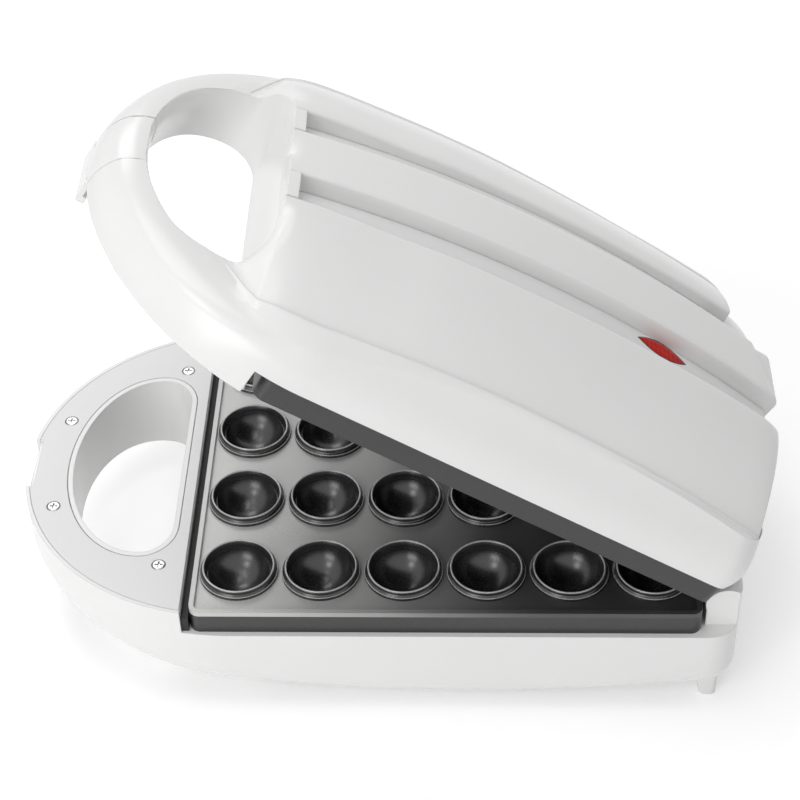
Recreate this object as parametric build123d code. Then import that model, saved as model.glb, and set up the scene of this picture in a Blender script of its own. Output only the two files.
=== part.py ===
from build123d import *
import os
from math import cos, pi, sin, sqrt

# Frame while drawing: X along the hinge, Y from the handle (-Y) to the hinge (+Y), Z up.
# Y = 0 is the middle of the baking plates and Z = 0 is the table. The lid is drawn shut, then opened.

# Baking pattern
cup_rows = 4
cup_columns = 6
row_pitch = 46.9
column_pitch = 38.0
cup_mouth_radius = 15.5
cup_wall = 1.5
cup_depth = 14.0
rim_rise = 2.0
collar_spread = 1.2
seat_inset = 14.4
seat_fit = 0.3
dough_gap = 3.5

# Baking plates
plate_margin_x = 27.15
plate_margin_y = 21.0
plate_corner = 5.0
lip_width = 2.3
floor_recess = 2.0
floor_thickness = 2.0
skirt_height = 13.0
closing_gap = 0.4

# Overall heights
parting_height = 65.0
keel_depth = 58.0
bow_depth = 26.0
stern_depth = 48.6

# Housing plan
half_width = 100.0
nose_centre = -100.0
nose_reach = 104.0
stern_y = 134.0
stern_corner = 15.0
wall = 2.5
keel_round = 14.0
assembly_gap = 0.3
slide_gap = 0.4

# Handle opening
hole_middle = -143.0
hole_half_width = 60.0
hole_back_reach = 15.0
hole_front_reach = 38.0
hole_corner = 17.0
lid_hole_extra = 3.0
lid_hole_lean = 5.0
lid_hole_flare = 8.0
flare_start = 13.0
flare_end = 27.0
flare_steps = 6

# Handle panels and their screws
panel_thickness = 2.2
panel_inset = 1.8
panel_end = -119.8
screw_head_radius = 3.15
screw_head_height = 1.8
screw_shank_radius = 1.5
screw_length = 11.0
screw_boss_radius = 4.4
side_screw = (68.0, -132.3)
front_screw = (30.0, -187.0)

# Lid form: height above the parting plane, half width, nose reach and rear edge at each level
lid_levels = [
    (0.0, 100.0, 104.0, 123.0),
    (8.0, 100.0, 103.4, 123.0),
    (16.0, 99.6, 100.5, 123.0),
    (22.0, 98.9, 95.5, 122.8),
    (26.0, 97.6, 86.0, 122.2),
    (30.0, 95.8, 66.0, 121.4),
    (37.0, 91.0, 55.0, 120.0),
    (46.0, 85.6, 41.0, 118.4),
    (56.0, 80.0, 30.0, 117.2),
]
lid_bands = 14
lid_corner = 15.0
band_height = 13.0
hinge_relief = (9.5, 9.0)

# Crease along the lid's flank: position along Y and height above the parting plane
crease_line = [(-139.0, 31.0), (-124.0, 35.8), (-107.0, 37.8), (-89.0, 39.8), (-60.0, 42.6), (-24.0, 44.6),
               (26.0, 44.3), (60.0, 42.7), (90.0, 39.9), (126.0, 35.6)]
crease_half_width = 84.0
ring_height = 28.5

# Dome over the crease: two bowed flanks whose inner edges run along the grooves
crown_height = 70.0
crown_radius = 640.0
crown_y = 12.0
flank_bow = 1.6
edge_line = [(-146.5, 48.5), (-131.0, 53.0), (-112.0, 56.0), (-82.0, 59.0), (-55.0, 62.2), (-5.0, 64.5),
             (30.0, 64.7), (70.0, 63.4), (94.0, 61.6), (118.0, 58.8), (126.0, 57.4)]
dome_foot = 8.0
dome_front = [(-146.5, 62.0, 21.0), (-139.0, 72.5, 29.0)]
dome_stations = [-133.0, -123.0, -107.0, -91.0, -60.0, -29.0, 5.0, 40.0, 75.0]
dome_rear = 118.5
flank_samples = 9

# Raised middle panel, the grooves beside it and their trim strips
panel_half_width = 15.5
panel_foot = 40.0
groove_outer = 32.0
groove_depth = 11.0
trim_thickness = 1.8
trim_front = -129.0
trim_rear = 84.0

# The rail away from the window ends early; behind it the lid steps down and the panel is cut off aslant
short_rail_end = 98.0
short_rail_step = 8.5
panel_slant = 13.5

# Indicator
lens_y = 53.0
lens_length = 26.0
lens_width = 8.6
lens_proud = 0.7
lamp_radius = 3.4
lamp_flange = 5.5
lamp_length = 13.0

# Hinge
hinge_y = 127.0
barrel_radius = 9.6
tower_front = 118.0
tower_half_width = 92.0
lug_inner = 52.0
lug_width = 14.0
lug_radius = 6.5
pin_radius = 2.0
pin_fit = 0.05
pin_seat = 9.0
rest_angle = 32.5

# Latch on the lid's nose
latch_half_width = 15.5
latch_wall = 2.8
latch_pivot = (-188.6, 15.5)
latch_barrel = 3.3
latch_pin_radius = 1.25
latch_drop = 9.5
latch_tooth = 3.6
catch_height = 3.6
bridge_height = 6.0

# Feet
leg_width = 10.0
leg_outer = 90.0
leg_top = (114.0, 128.0)
leg_toe = (119.5, 127.5)
leg_reach = 24.0
foot_x = 70.0
foot_y = -91.0
foot_radius = 7.0
foot_height = 8.0
foot_stem = 2.6

# Heating
tube_radius = 3.25
heater_bend = 18.0
terminal_gap = 30.0
cold_end = 12.0
sheet = 0.8
tray_inset = 3.4
lower_fixing = (46.9, 76.0)
upper_fixing = (27.7, 38.0)
fixing_boss = 5.0
fixing_head = 3.6
fixing_head_height = 2.4
fixing_shank = 1.7
fixing_length = 16.0

# Electrical pieces
block_size = (34.0, 16.0, 12.0)
block_y = 111.0
block_seat = 18.5
thermostat_radius = 8.0
thermostat_height = 9.0
fuse_radius = 3.0
fuse_length = 22.0
gland_height = 36.0
gland_radius = 6.0
gland_flange = 8.5
gland_bore = 3.6
gland_lip = 2.0
wire_radius = 1.3

# Worked-out sizes
grid_x = [(i - (cup_rows - 1) / 2) * row_pitch for i in range(cup_rows)]
grid_y = [(j - (cup_columns - 1) / 2) * column_pitch for j in range(cup_columns)]
plate_half_x = grid_x[-1] + plate_margin_x
plate_half_y = grid_y[-1] + plate_margin_y
top = parting_height
rim_top = top + rim_rise
floor_top = top - floor_recess
floor_under = floor_top - floor_thickness
skirt_under = top - skirt_height
cup_under = rim_top - cup_depth - cup_wall
upper_lip = top + closing_gap
upper_floor = rim_top + closing_gap + 0.2
upper_back = upper_floor + floor_thickness
band_bottom = top + band_height
lower_tray = cup_under - 2 * tube_radius - assembly_gap - 2.0 * sheet
upper_tray = upper_back + 2 * tube_radius + assembly_gap + 4.0
hinge_axis = Axis((0, hinge_y, top), (-1, 0, 0))
latch_axis_point = (latch_pivot[0], top + latch_pivot[1])
catch_back = nose_centre - nose_reach + 5.0
ledge_low = top - panel_thickness - catch_height
upper_run = 2 * column_pitch


def slab(x0, x1, y0, y1, z0, z1):
    """Block between two corners."""
    return Pos((x0 + x1) / 2, (y0 + y1) / 2, (z0 + z1) / 2) * Box(x1 - x0, y1 - y0, z1 - z0)


def upright(radius, height, x, y, z):
    """Vertical cylinder standing on height z."""
    return Pos(x, y, z + height / 2) * Cylinder(radius, height)


def crossbar(radius, x0, x1, y, z):
    """Cylinder along X between two ends."""
    return Pos((x0 + x1) / 2, y, z) * Rot(0, 90, 0) * Cylinder(radius, x1 - x0)


def side_profile(points, x0, x1):
    """Polygon drawn in the YZ plane and carried along X."""
    outline = make_face(Polyline(*points, close=True))
    return Pos(x0, 0, 0) * extrude(Plane.YZ * outline, x1 - x0)


def housing_plan(side, reach, rear, corner):
    """Plan face: half ellipse at the nose, straight flanks, round rear corners."""
    nose = EllipticalCenterArc((0, nose_centre), side, reach, 180, arc_size=180)
    right = Line((side, nose_centre), (side, rear - corner))
    right_bend = EllipticalCenterArc((side - corner, rear - corner), corner, corner, 0, arc_size=90)
    back = Line((side - corner, rear), (corner - side, rear))
    left_bend = EllipticalCenterArc((corner - side, rear - corner), corner, corner, 90, arc_size=90)
    left = Line((-side, rear - corner), (-side, nose_centre))
    return make_face([nose, right, right_bend, back, left_bend, left])


def hole_plan(grow, front_extra=0.0, lean=0.0):
    """Plan face of the handle opening, grown outward by grow."""
    side = hole_half_width + grow
    corner = hole_corner + grow
    rise = hole_back_reach + grow - lean
    front = EllipticalCenterArc((0, hole_middle), side, hole_front_reach + grow + front_extra, 180, arc_size=180)
    right_bend = EllipticalCenterArc((side - corner, hole_middle), corner, rise, 0, arc_size=90)
    back = Line((side - corner, hole_middle + rise), (corner - side, hole_middle + rise))
    left_bend = EllipticalCenterArc((corner - side, hole_middle), corner, rise, 90, arc_size=90)
    return make_face([front, right_bend, back, left_bend])


def plate_plan(inset):
    """Rounded rectangle of the baking plates, drawn in by inset."""
    size_x = 2 * (plate_half_x - inset)
    size_y = 2 * (plate_half_y - inset)
    return RectangleRounded(size_x, size_y, max(plate_corner - inset, 0.8))


def raised(face, z0, z1):
    """Face carried from height z0 to z1."""
    return Pos(0, 0, z0) * extrude(face, z1 - z0)


def mirrored_pair(points):
    """Each point with its mirror image across the middle plane."""
    return [(sign * x, y) for x, y in points for sign in (-1, 1)]


def hull(inset):
    """Boat-shaped body of the base, drawn in by inset."""
    plan = housing_plan(half_width - inset, nose_reach - inset, stern_y - inset, stern_corner - inset)
    bow = (nose_centre - nose_reach, top - bow_depth + inset)
    keel = (-20.0, top - keel_depth + inset)
    stern = (stern_y, top - stern_depth + inset)
    keel_line = ThreePointArc(bow, keel, stern)
    sides = Polyline(stern, (stern_y, top), (bow[0], top), bow)
    section = Plane.YZ * make_face([keel_line, sides])
    form = raised(plan, 0, top) & extrude(section, half_width, both=True)
    underside = form.faces().sort_by(Axis.Z)[0]
    return fillet(underside.edges(), keel_round - inset)


def hinge_tower():
    """Rear wall that carries the hinge, with slots for the lid's two lugs."""
    plan = housing_plan(half_width, nose_reach, stern_y, stern_corner)
    reach = slab(-tower_half_width, tower_half_width, tower_front, stern_y, skirt_under - wall, top)
    barrel = crossbar(barrel_radius, -tower_half_width, tower_half_width, hinge_y, top)
    tower = (reach + barrel) & raised(plan, skirt_under - wall, top + 2 * barrel_radius)
    for sign in (-1, 1):
        inner = sign * (lug_inner - slide_gap)
        outer = sign * (lug_inner + lug_width + slide_gap)
        low, high = sorted((inner, outer))
        slot_floor = top - lug_radius - 1.0
        tower -= slab(low, high, tower_front - 5, stern_y + 5, slot_floor, top + 2 * barrel_radius)
        pin_low, pin_high = sorted((sign * (lug_inner - pin_seat), sign * (lug_inner + lug_width + pin_seat)))
        tower -= crossbar(pin_radius + 0.02, pin_low, pin_high, hinge_y, top)
    return tower


def screw_posts(points, radius, z0, z1):
    """Plain posts at the given places."""
    return [upright(radius, z1 - z0, x, y, z0) for x, y in points]


def catch_block():
    """Solid nose block with the recess and ledge that the latch hooks under."""
    nose = nose_centre - nose_reach
    block = slab(-latch_half_width - 3.0, latch_half_width + 3.0, nose, catch_back + wall, top - 22.0, top)
    side = latch_half_width + 0.8
    floor = top - latch_drop - 2.0
    recess = slab(-side, side, nose - 5, catch_back, floor, top + 5)
    lip = slab(-side, side, catch_back - 1.8, catch_back + 1.0, ledge_low, ledge_low + catch_height)
    return block, recess, lip


def make_base_housing():
    """Moulded base: hull, handle ring, hinge tower, rear legs and posts."""
    bulkhead = panel_end - wall
    outer = hull(0)
    deck = slab(-half_width, half_width, panel_end, stern_y + 5, skirt_under, top + 5)
    outer -= deck
    outer += hinge_tower()
    hollow = hull(wall)
    mid_room = slab(-half_width, half_width, panel_end, tower_front, 0, skirt_under - 3.0)
    mid_mouth = raised(plate_plan(lip_width + 0.8), skirt_under - 3.5, skirt_under + 1)
    tail_room = slab(-half_width, half_width, tower_front - 1, stern_y, 0, skirt_under - 2 * wall)
    nose_room = slab(-half_width, half_width, nose_centre - nose_reach, bulkhead, 0, top - panel_thickness)
    nose_room -= raised(hole_plan(wall), 0, top)
    block, recess, lip = catch_block()
    body = outer - (hollow & mid_room) - (hollow & tail_room) - (hollow & (nose_room - block))
    body -= mid_mouth
    panel_bed = housing_plan(half_width - panel_inset, nose_reach - panel_inset, stern_y, stern_corner)
    bed = raised(panel_bed, top - panel_thickness, top + 1)
    bed &= slab(-half_width, half_width, -300, panel_end, 0, top + 5)
    bed -= raised(hole_plan(wall), 0, top + 5)
    body -= bed
    body -= raised(hole_plan(0), 0, top + 5)
    keel_skin = hull(0)
    panel_posts = screw_posts(mirrored_pair([side_screw, front_screw]), screw_boss_radius, 5, top - panel_thickness)
    fixing_posts = screw_posts(mirrored_pair([lower_fixing, (lower_fixing[0], -lower_fixing[1])]), fixing_boss, 5, lower_tray)
    seat = slab(-block_size[0] / 2, block_size[0] / 2, block_y - block_size[1] / 2,
                block_y + block_size[1] / 2, 5, block_seat)
    for post in panel_posts + fixing_posts + [seat]:
        body += post & keel_skin
    for x, y in mirrored_pair([(foot_x, foot_y)]):
        body += upright(foot_radius + 1, 20, x, y, foot_height)
        body -= upright(foot_stem, 7.0, x, y, foot_height - 1)
    for sign in (-1, 1):
        body += rear_leg(sign)
    for x, y in mirrored_pair([side_screw, front_screw]):
        body -= upright(screw_shank_radius + 0.02, screw_length, x, y, top - screw_length)
    for x, y in mirrored_pair([lower_fixing, (lower_fixing[0], -lower_fixing[1])]):
        head_seat = lower_tray - 8.0
        body -= upright(fixing_head + assembly_gap, head_seat, x, y, 0)
        body -= upright(fixing_shank + 0.2, 20, x, y, head_seat - 1)
    body -= Pos(0, stern_y - 5, gland_height) * Rot(90, 0, 0) * Cylinder(gland_radius, 20)
    body = body - recess + lip
    return body


def rear_leg(sign):
    """Tapered leg under a rear corner, round at the toe."""
    root_y = sum(leg_top) / 2
    toe_y = sum(leg_toe) / 2
    x = sign * (leg_outer - leg_width / 2)
    toe = Pos(x, toe_y, 0) * RectangleRounded(leg_width - 1, leg_toe[1] - leg_toe[0], 3.0)
    root = Pos(x, root_y, leg_reach) * RectangleRounded(leg_width, leg_top[1] - leg_top[0], 3.0)
    return loft([toe, root])


def make_handle_panel():
    """Flat cover over the base's handle ring."""
    side = half_width - panel_inset - assembly_gap / 2
    reach = nose_reach - panel_inset - assembly_gap / 2
    cover = raised(housing_plan(side, reach, stern_y, stern_corner), top - panel_thickness, top)
    cover &= slab(-half_width, half_width, -300, panel_end - assembly_gap, 0, top)
    cover -= raised(hole_plan(wall + assembly_gap), 0, top + 1)
    cover -= catch_block()[1]
    for x, y in mirrored_pair([side_screw, front_screw]):
        cover -= upright(screw_shank_radius + 0.3, 10, x, y, top - 8)
        cover -= upright(screw_head_radius + 0.2, screw_head_height, x, y, top - screw_head_height + 0.4)
    return cover


def cross_screw(head_radius, head_height, shank_radius, length):
    """Round-headed screw with a cross recess; its head's seat is at Z = 0 and the shank points down."""
    head = Pos(0, 0, head_height / 2) * Cylinder(head_radius, head_height)
    head = fillet(head.edges().group_by(Axis.Z)[-1], head_height * 0.45)
    shank = Pos(0, 0, -length / 2) * Cylinder(shank_radius, length)
    slot = Pos(0, 0, head_height) * Box(head_radius * 1.2, head_radius * 0.28, head_height)
    return head + shank - slot - Rot(0, 0, 90) * slot


def make_handle_panel_screws():
    """Four screws that hold the handle panel."""
    screw = cross_screw(screw_head_radius, screw_head_height, screw_shank_radius, screw_length - panel_thickness)
    seat = top - screw_head_height + 0.4
    return [Pos(x, y, seat) * screw for x, y in mirrored_pair([side_screw, front_screw])]


def bowl_centre(radius, low, high):
    """Height of the centre of the ball whose cap is radius wide at height high and ends at height low."""
    depth = high - low
    return low + (radius ** 2 + depth ** 2) / (2 * depth)


def cup_profile():
    """Half section of one cup: a ball-shaped bowl in a collar that rests on the plate's floor."""
    mouth = cup_mouth_radius
    bowl_floor = rim_top - cup_depth
    centre = bowl_centre(mouth, bowl_floor, rim_top)
    ball = centre - bowl_floor
    outer = ball + cup_wall
    seat = mouth + cup_wall
    seat_low = centre - sqrt(outer ** 2 - seat_inset ** 2)
    inner_turn, outer_turn = pi / 4, pi / 4 * 0.9
    collar = seat + collar_spread
    ledge_height = floor_top + rim_rise * 0.55
    bowl = ThreePointArc((mouth, rim_top), (ball * sin(inner_turn), centre - ball * cos(inner_turn)), (0, bowl_floor))
    skin = ThreePointArc((0, cup_under), (outer * sin(outer_turn), centre - outer * cos(outer_turn)),
                         (seat_inset, seat_low))
    lines = [
        bowl,
        Line((0, bowl_floor), (0, cup_under)),
        skin,
        Polyline(
            (seat_inset, seat_low),
            (seat_inset, floor_top),
            (collar, floor_top),
            (collar - 0.4, ledge_height),
            (seat - 0.1, ledge_height + 0.7),
            (seat - 0.3, rim_top),
            (mouth, rim_top),
        ),
    ]
    return make_face(lines)


def make_lower_plate():
    """Lower baking plate with its lip, skirt, posts and a round seat at every grid place."""
    plate = raised(plate_plan(0), skirt_under, top)
    plate -= raised(plate_plan(lip_width), floor_top, top + 1)
    plate -= raised(plate_plan(lip_width), skirt_under - 1, floor_under)
    opening = upright(seat_inset + seat_fit, 10, 0, 0, floor_under - 2)
    plate -= [Pos(x, y, 0) * opening for x in grid_x for y in grid_y]
    posts = mirrored_pair([lower_fixing, (lower_fixing[0], -lower_fixing[1])])
    plate += screw_posts(posts, fixing_boss - 1, lower_tray + sheet, floor_under + 0.5)
    plate -= screw_posts(posts, fixing_shank + 0.02, lower_tray - 1, lower_tray + fixing_length)
    return plate


def make_lower_cups():
    """Half-shell cups, one in every seat of the lower plate."""
    cup = revolve(Plane.XZ * cup_profile(), Axis.Z)
    return [Pos(x, y, 0) * cup for x in grid_x for y in grid_y]


def make_upper_plate():
    """Upper baking plate: a mirror of the lower tray, whose floor carries the formers."""
    plate = raised(plate_plan(0), upper_lip, band_bottom)
    plate -= raised(plate_plan(lip_width), upper_lip - 1, upper_floor)
    plate -= raised(plate_plan(lip_width), upper_back, band_bottom + 1)
    posts = mirrored_pair([upper_fixing, (upper_fixing[0], -upper_fixing[1])])
    plate += screw_posts(posts, fixing_boss - 1, upper_back - 0.5, upper_tray)
    plate -= screw_posts(posts, fixing_shank + 0.02, upper_back + 1, upper_tray + 1)
    return plate


def make_upper_formers():
    """Domed formers that reach into the cups, one over every cup."""
    radius = cup_mouth_radius - dough_gap
    tip = rim_top - cup_depth + dough_gap
    centre = bowl_centre(radius, tip, upper_floor)
    ball = centre - tip
    turn = pi / 4
    dome = ThreePointArc((radius, upper_floor), (ball * sin(turn), centre - ball * cos(turn)), (0, tip))
    base = Polyline((0, tip), (0, upper_floor), (radius, upper_floor))
    former = revolve(Plane.XZ * make_face([dome, base]), Axis.Z)
    return [Pos(x, y, 0) * former for x in grid_x for y in grid_y]


def heater_loop(half_x, half_y, z, cold_z):
    """Bent tubular element, open at the hinge side, with both cold ends turned away from the plate."""
    gap = terminal_gap / 2
    path = FilletPolyline(
        (gap, half_y, cold_z),
        (gap, half_y, z),
        (half_x, half_y, z),
        (half_x, -half_y, z),
        (-half_x, -half_y, z),
        (-half_x, half_y, z),
        (-gap, half_y, z),
        (-gap, half_y, cold_z),
        radius=[5.0, heater_bend, heater_bend, heater_bend, heater_bend, 5.0],
    )
    facing = Plane(origin=(gap, half_y, cold_z), z_dir=(0, 0, 1 if z > cold_z else -1))
    return sweep(facing * Circle(tube_radius), path)


def tray(z, flip):
    """Sheet tray behind the heater; flip turns its rim downward."""
    plan = plate_plan(tray_inset)
    rim = 8.0
    low, high = (z - rim + sheet, z + sheet) if flip else (z, z + rim)
    inner_low, inner_high = (low - 1, z) if flip else (z + sheet, high + 1)
    return raised(plan, low, high) - raised(plate_plan(tray_inset + sheet), inner_low, inner_high)


def make_lower_tray():
    """Heat reflector under the lower element."""
    piece = tray(lower_tray, False)
    for x, y in mirrored_pair([lower_fixing, (lower_fixing[0], -lower_fixing[1])]):
        piece -= upright(fixing_shank + 0.2, 10, x, y, lower_tray - 5)
    for sign in (-1, 1):
        piece -= upright(tube_radius + 1.2, 10, sign * terminal_gap / 2, grid_y[-1], lower_tray - 5)
    return piece


def make_upper_tray():
    """Heat reflector over the upper element."""
    piece = tray(upper_tray, True)
    for x, y in mirrored_pair([upper_fixing, (upper_fixing[0], -upper_fixing[1])]):
        piece -= upright(fixing_shank + 0.2, 10, x, y, upper_tray - 5)
    for sign in (-1, 1):
        piece -= upright(tube_radius + 1.2, 10, sign * terminal_gap / 2, upper_run, upper_tray - 5)
    return piece


def make_lower_heater():
    """Element under the outer ring of cups."""
    z = cup_under - tube_radius - assembly_gap
    return heater_loop(grid_x[-1], grid_y[-1], z, lower_tray - cold_end)


def make_upper_heater():
    """Element lying on the back of the upper plate, between the formers."""
    z = upper_back + tube_radius + assembly_gap
    return heater_loop(row_pitch, upper_run, z, upper_tray + cold_end)


def fixing_screws(points, seat, up):
    """Long-reach screws that hold a plate; up says which way the shank points."""
    screw = cross_screw(fixing_head, fixing_head_height, fixing_shank, fixing_length)
    turn = Rot(180, 0, 0) if up else Rot(0, 0, 0)
    return [Pos(x, y, seat) * turn * screw for x, y in points]


def smooth_row(table, place):
    """Row of a table at a place in its first column, on a smooth curve through its rows."""
    last = len(table) - 1
    i = min(sum(1 for row in table[1:-1] if row[0] <= place), last - 1)
    low, high = table[i], table[i + 1]
    before, after = table[max(i - 1, 0)], table[min(i + 2, last)]
    span = high[0] - low[0]
    t = min(max((place - low[0]) / span, 0), 1)
    result = []
    for column in range(1, len(low)):
        slope_low = (high[column] - before[column]) / (high[0] - before[0])
        slope_high = (after[column] - low[column]) / (after[0] - low[0])
        result.append((2 * t ** 3 - 3 * t ** 2 + 1) * low[column] + (t ** 3 - 2 * t ** 2 + t) * span * slope_low
                      + (3 * t ** 2 - 2 * t ** 3) * high[column] + (t ** 3 - t ** 2) * span * slope_high)
    return result


def lid_level(z):
    """Half width, nose reach and rear edge of the lid at a height above the parting plane."""
    return smooth_row(lid_levels, z)


def crease_at(y):
    """Height of the crease above the parting plane at a place along Y."""
    return smooth_row(crease_line, y)[0]


def crown_at(y, drop=0.0):
    """Height of the crown above the parting plane, drawn in by drop."""
    radius = crown_radius - drop
    return crown_height - crown_radius + sqrt(radius ** 2 - (y - crown_y) ** 2)


def lid_skirt(inset):
    """Lower lid form under the crease, drawn in by inset."""
    sections = []
    for i in range(lid_bands + 1):
        z = lid_levels[-1][0] * i / lid_bands
        side, reach, rear = lid_level(z)
        plan = housing_plan(side - inset, reach - inset, rear - inset, lid_corner - inset)
        sections.append(Pos(0, 0, top + z - inset) * plan)
    form = loft(sections, ruled=True)
    crease = Spline(*[(y, top + z - inset) for y, z in crease_line])
    front, back = crease @ 0, crease @ 1
    nose = nose_centre - nose_reach - 5
    ring = top + ring_height - inset
    high = top + lid_levels[-1][0] + 5
    edge = Polyline(back, (back.X, high), (nose, high), (nose, ring), front)
    return form - extrude(Plane.YZ * make_face([crease, edge]), half_width + 5, both=True)


def dome_side(y):
    """Half width of the dome's foot at a place along Y."""
    ahead = max(nose_centre - y, 0)
    return crease_half_width * sqrt(1 - (ahead / nose_reach) ** 2)


def dome_section(y, side, foot, inset, left_drop):
    """Cross-section of the dome at one station: bowed flanks on straight feet, the left one lowered."""
    low = top + foot - dome_foot - inset
    edge = smooth_row(edge_line, y)[0]
    rise = edge - foot
    right = []
    for i in range(flank_samples):
        share = 1 - i / (flank_samples - 1)
        x = groove_outer + (side - inset - groove_outer) * share
        right.append((x, top + edge - inset - rise * share ** flank_bow))
    left = [(-x, max(z - left_drop, low + wall)) for x, z in reversed(right)]
    outline = Polyline(*right, *left, (inset - side, low), (side - inset, low), close=True)
    return Plane(origin=(0, y, 0), x_dir=(1, 0, 0), z_dir=(0, -1, 0)) * make_face(outline)


def lid_flanks(inset):
    """Flanks over the crease, lofted from front to rear, with the step behind the short rail."""
    step = short_rail_end - inset
    front = [(dome_front[0][0] + inset * 0.5, *dome_front[0][1:]), dome_front[1]]
    front += [(y, dome_side(y), crease_at(y)) for y in [*dome_stations, step]]
    rear = [(y, dome_side(y), crease_at(y)) for y in (step, dome_rear - inset)]
    long_part = loft([dome_section(*station, inset, 0.0) for station in front], ruled=True)
    short_part = loft([dome_section(*station, inset, short_rail_step) for station in rear], ruled=True)
    return long_part + short_part


def lid_panel(inset):
    """Raised middle panel, arched along its length and cut off aslant at the rear."""
    front = dome_front[0][0] + inset
    middle = (front + dome_rear) / 2
    roof = ThreePointArc(*[(y, top + crown_at(y, inset)) for y in (front, middle, dome_rear)])
    walls = Polyline((dome_rear, top + crown_at(dome_rear, inset)), (dome_rear, top + panel_foot),
                     (front, top + panel_foot), (front, top + crown_at(front, inset)))
    half = panel_half_width - inset
    panel = extrude(Plane.YZ * make_face([roof, walls]), half, both=True)
    back = dome_rear - inset
    slant = make_face(Polyline((half + 1, back), (half + 1, back + 20), (-half - 1, back + 20),
                               (-half - 1, back - panel_slant), close=True))
    return panel - raised(slant, top, top + crown_height + 10)


def lid_dome(inset):
    """Everything over the crease: the flanks and the raised panel."""
    return lid_flanks(inset) + lid_panel(inset)


def arc_band(low_drop, high, x0, x1, y0, y1):
    """Body between an arc low_drop under the crown and a plane high above it."""
    middle = (y0 + y1) / 2
    floor = ThreePointArc(
        (y0, top + crown_at(y0, low_drop)),
        (middle, top + crown_at(middle, low_drop)),
        (y1, top + crown_at(y1, low_drop)),
    )
    roof = Polyline((y1, top + crown_at(y1, low_drop)), (y1, top + high), (y0, top + high),
                    (y0, top + crown_at(y0, low_drop)))
    return Pos(x0, 0, 0) * extrude(Plane.YZ * make_face([floor, roof]), x1 - x0)


def groove_cuts(grow):
    """Both grooves, widened by grow all round."""
    high = crown_height + 20
    cuts = []
    for sign in (-1, 1):
        low, high_x = sorted((sign * (panel_half_width - grow), sign * (groove_outer + grow)))
        cuts.append(arc_band(groove_depth + grow, high, low, high_x, -170, 160))
    return cuts


def lid_hole(grow):
    """Handle opening of the lid: straight low down, rounded out at the ring's top, leaning at the back."""
    sections = [Pos(0, 0, top - 5) * hole_plan(grow, lid_hole_extra)]
    for i in range(flare_steps + 1):
        z = flare_start + (flare_end - flare_start) * i / flare_steps
        spread = 1 - sqrt(1 - (i / flare_steps) ** 2)
        sections.append(Pos(0, 0, top + z) * hole_plan(grow, lid_hole_extra + lid_hole_flare * spread,
                                                       lid_hole_lean * z / crown_height))
    high = crown_height + 10
    sections.append(Pos(0, 0, top + high) * hole_plan(grow, lid_hole_extra + lid_hole_flare, lid_hole_lean))
    return loft(sections, ruled=True)


def hinge_lugs():
    """Two lugs that reach from the lid's rear wall down to the hinge pins."""
    root = band_bottom + 18.0
    web = [
        (hinge_y - lug_radius, top),
        (hinge_y - lug_radius, band_bottom),
        (hinge_y - lug_radius - 6.0, band_bottom + 4.0),
        (hinge_y - lug_radius - 6.0, root),
        (hinge_y - lug_radius, root),
        (hinge_y + lug_radius * 0.35, top + lug_radius),
        (hinge_y, top),
    ]
    lugs = []
    for sign in (-1, 1):
        low, high = sorted((sign * lug_inner, sign * (lug_inner + lug_width)))
        lug = side_profile(web, low, high) + crossbar(lug_radius, low, high, hinge_y, top)
        lugs.append(lug - crossbar(pin_radius + pin_fit, low - 1, high + 1, hinge_y, top))
    return lugs


def latch_room(grow):
    """Space over the nose that the latch fills, widened by grow."""
    side = latch_half_width + grow
    nose = nose_centre - nose_reach
    over = slab(-side, side, nose - 5, hole_middle - hole_front_reach + 5, top + bridge_height, top + 60)
    ahead = slab(-side, side, nose - 5, nose + latch_wall + 1.0, top - 5, top + 60)
    return over + ahead


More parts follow.
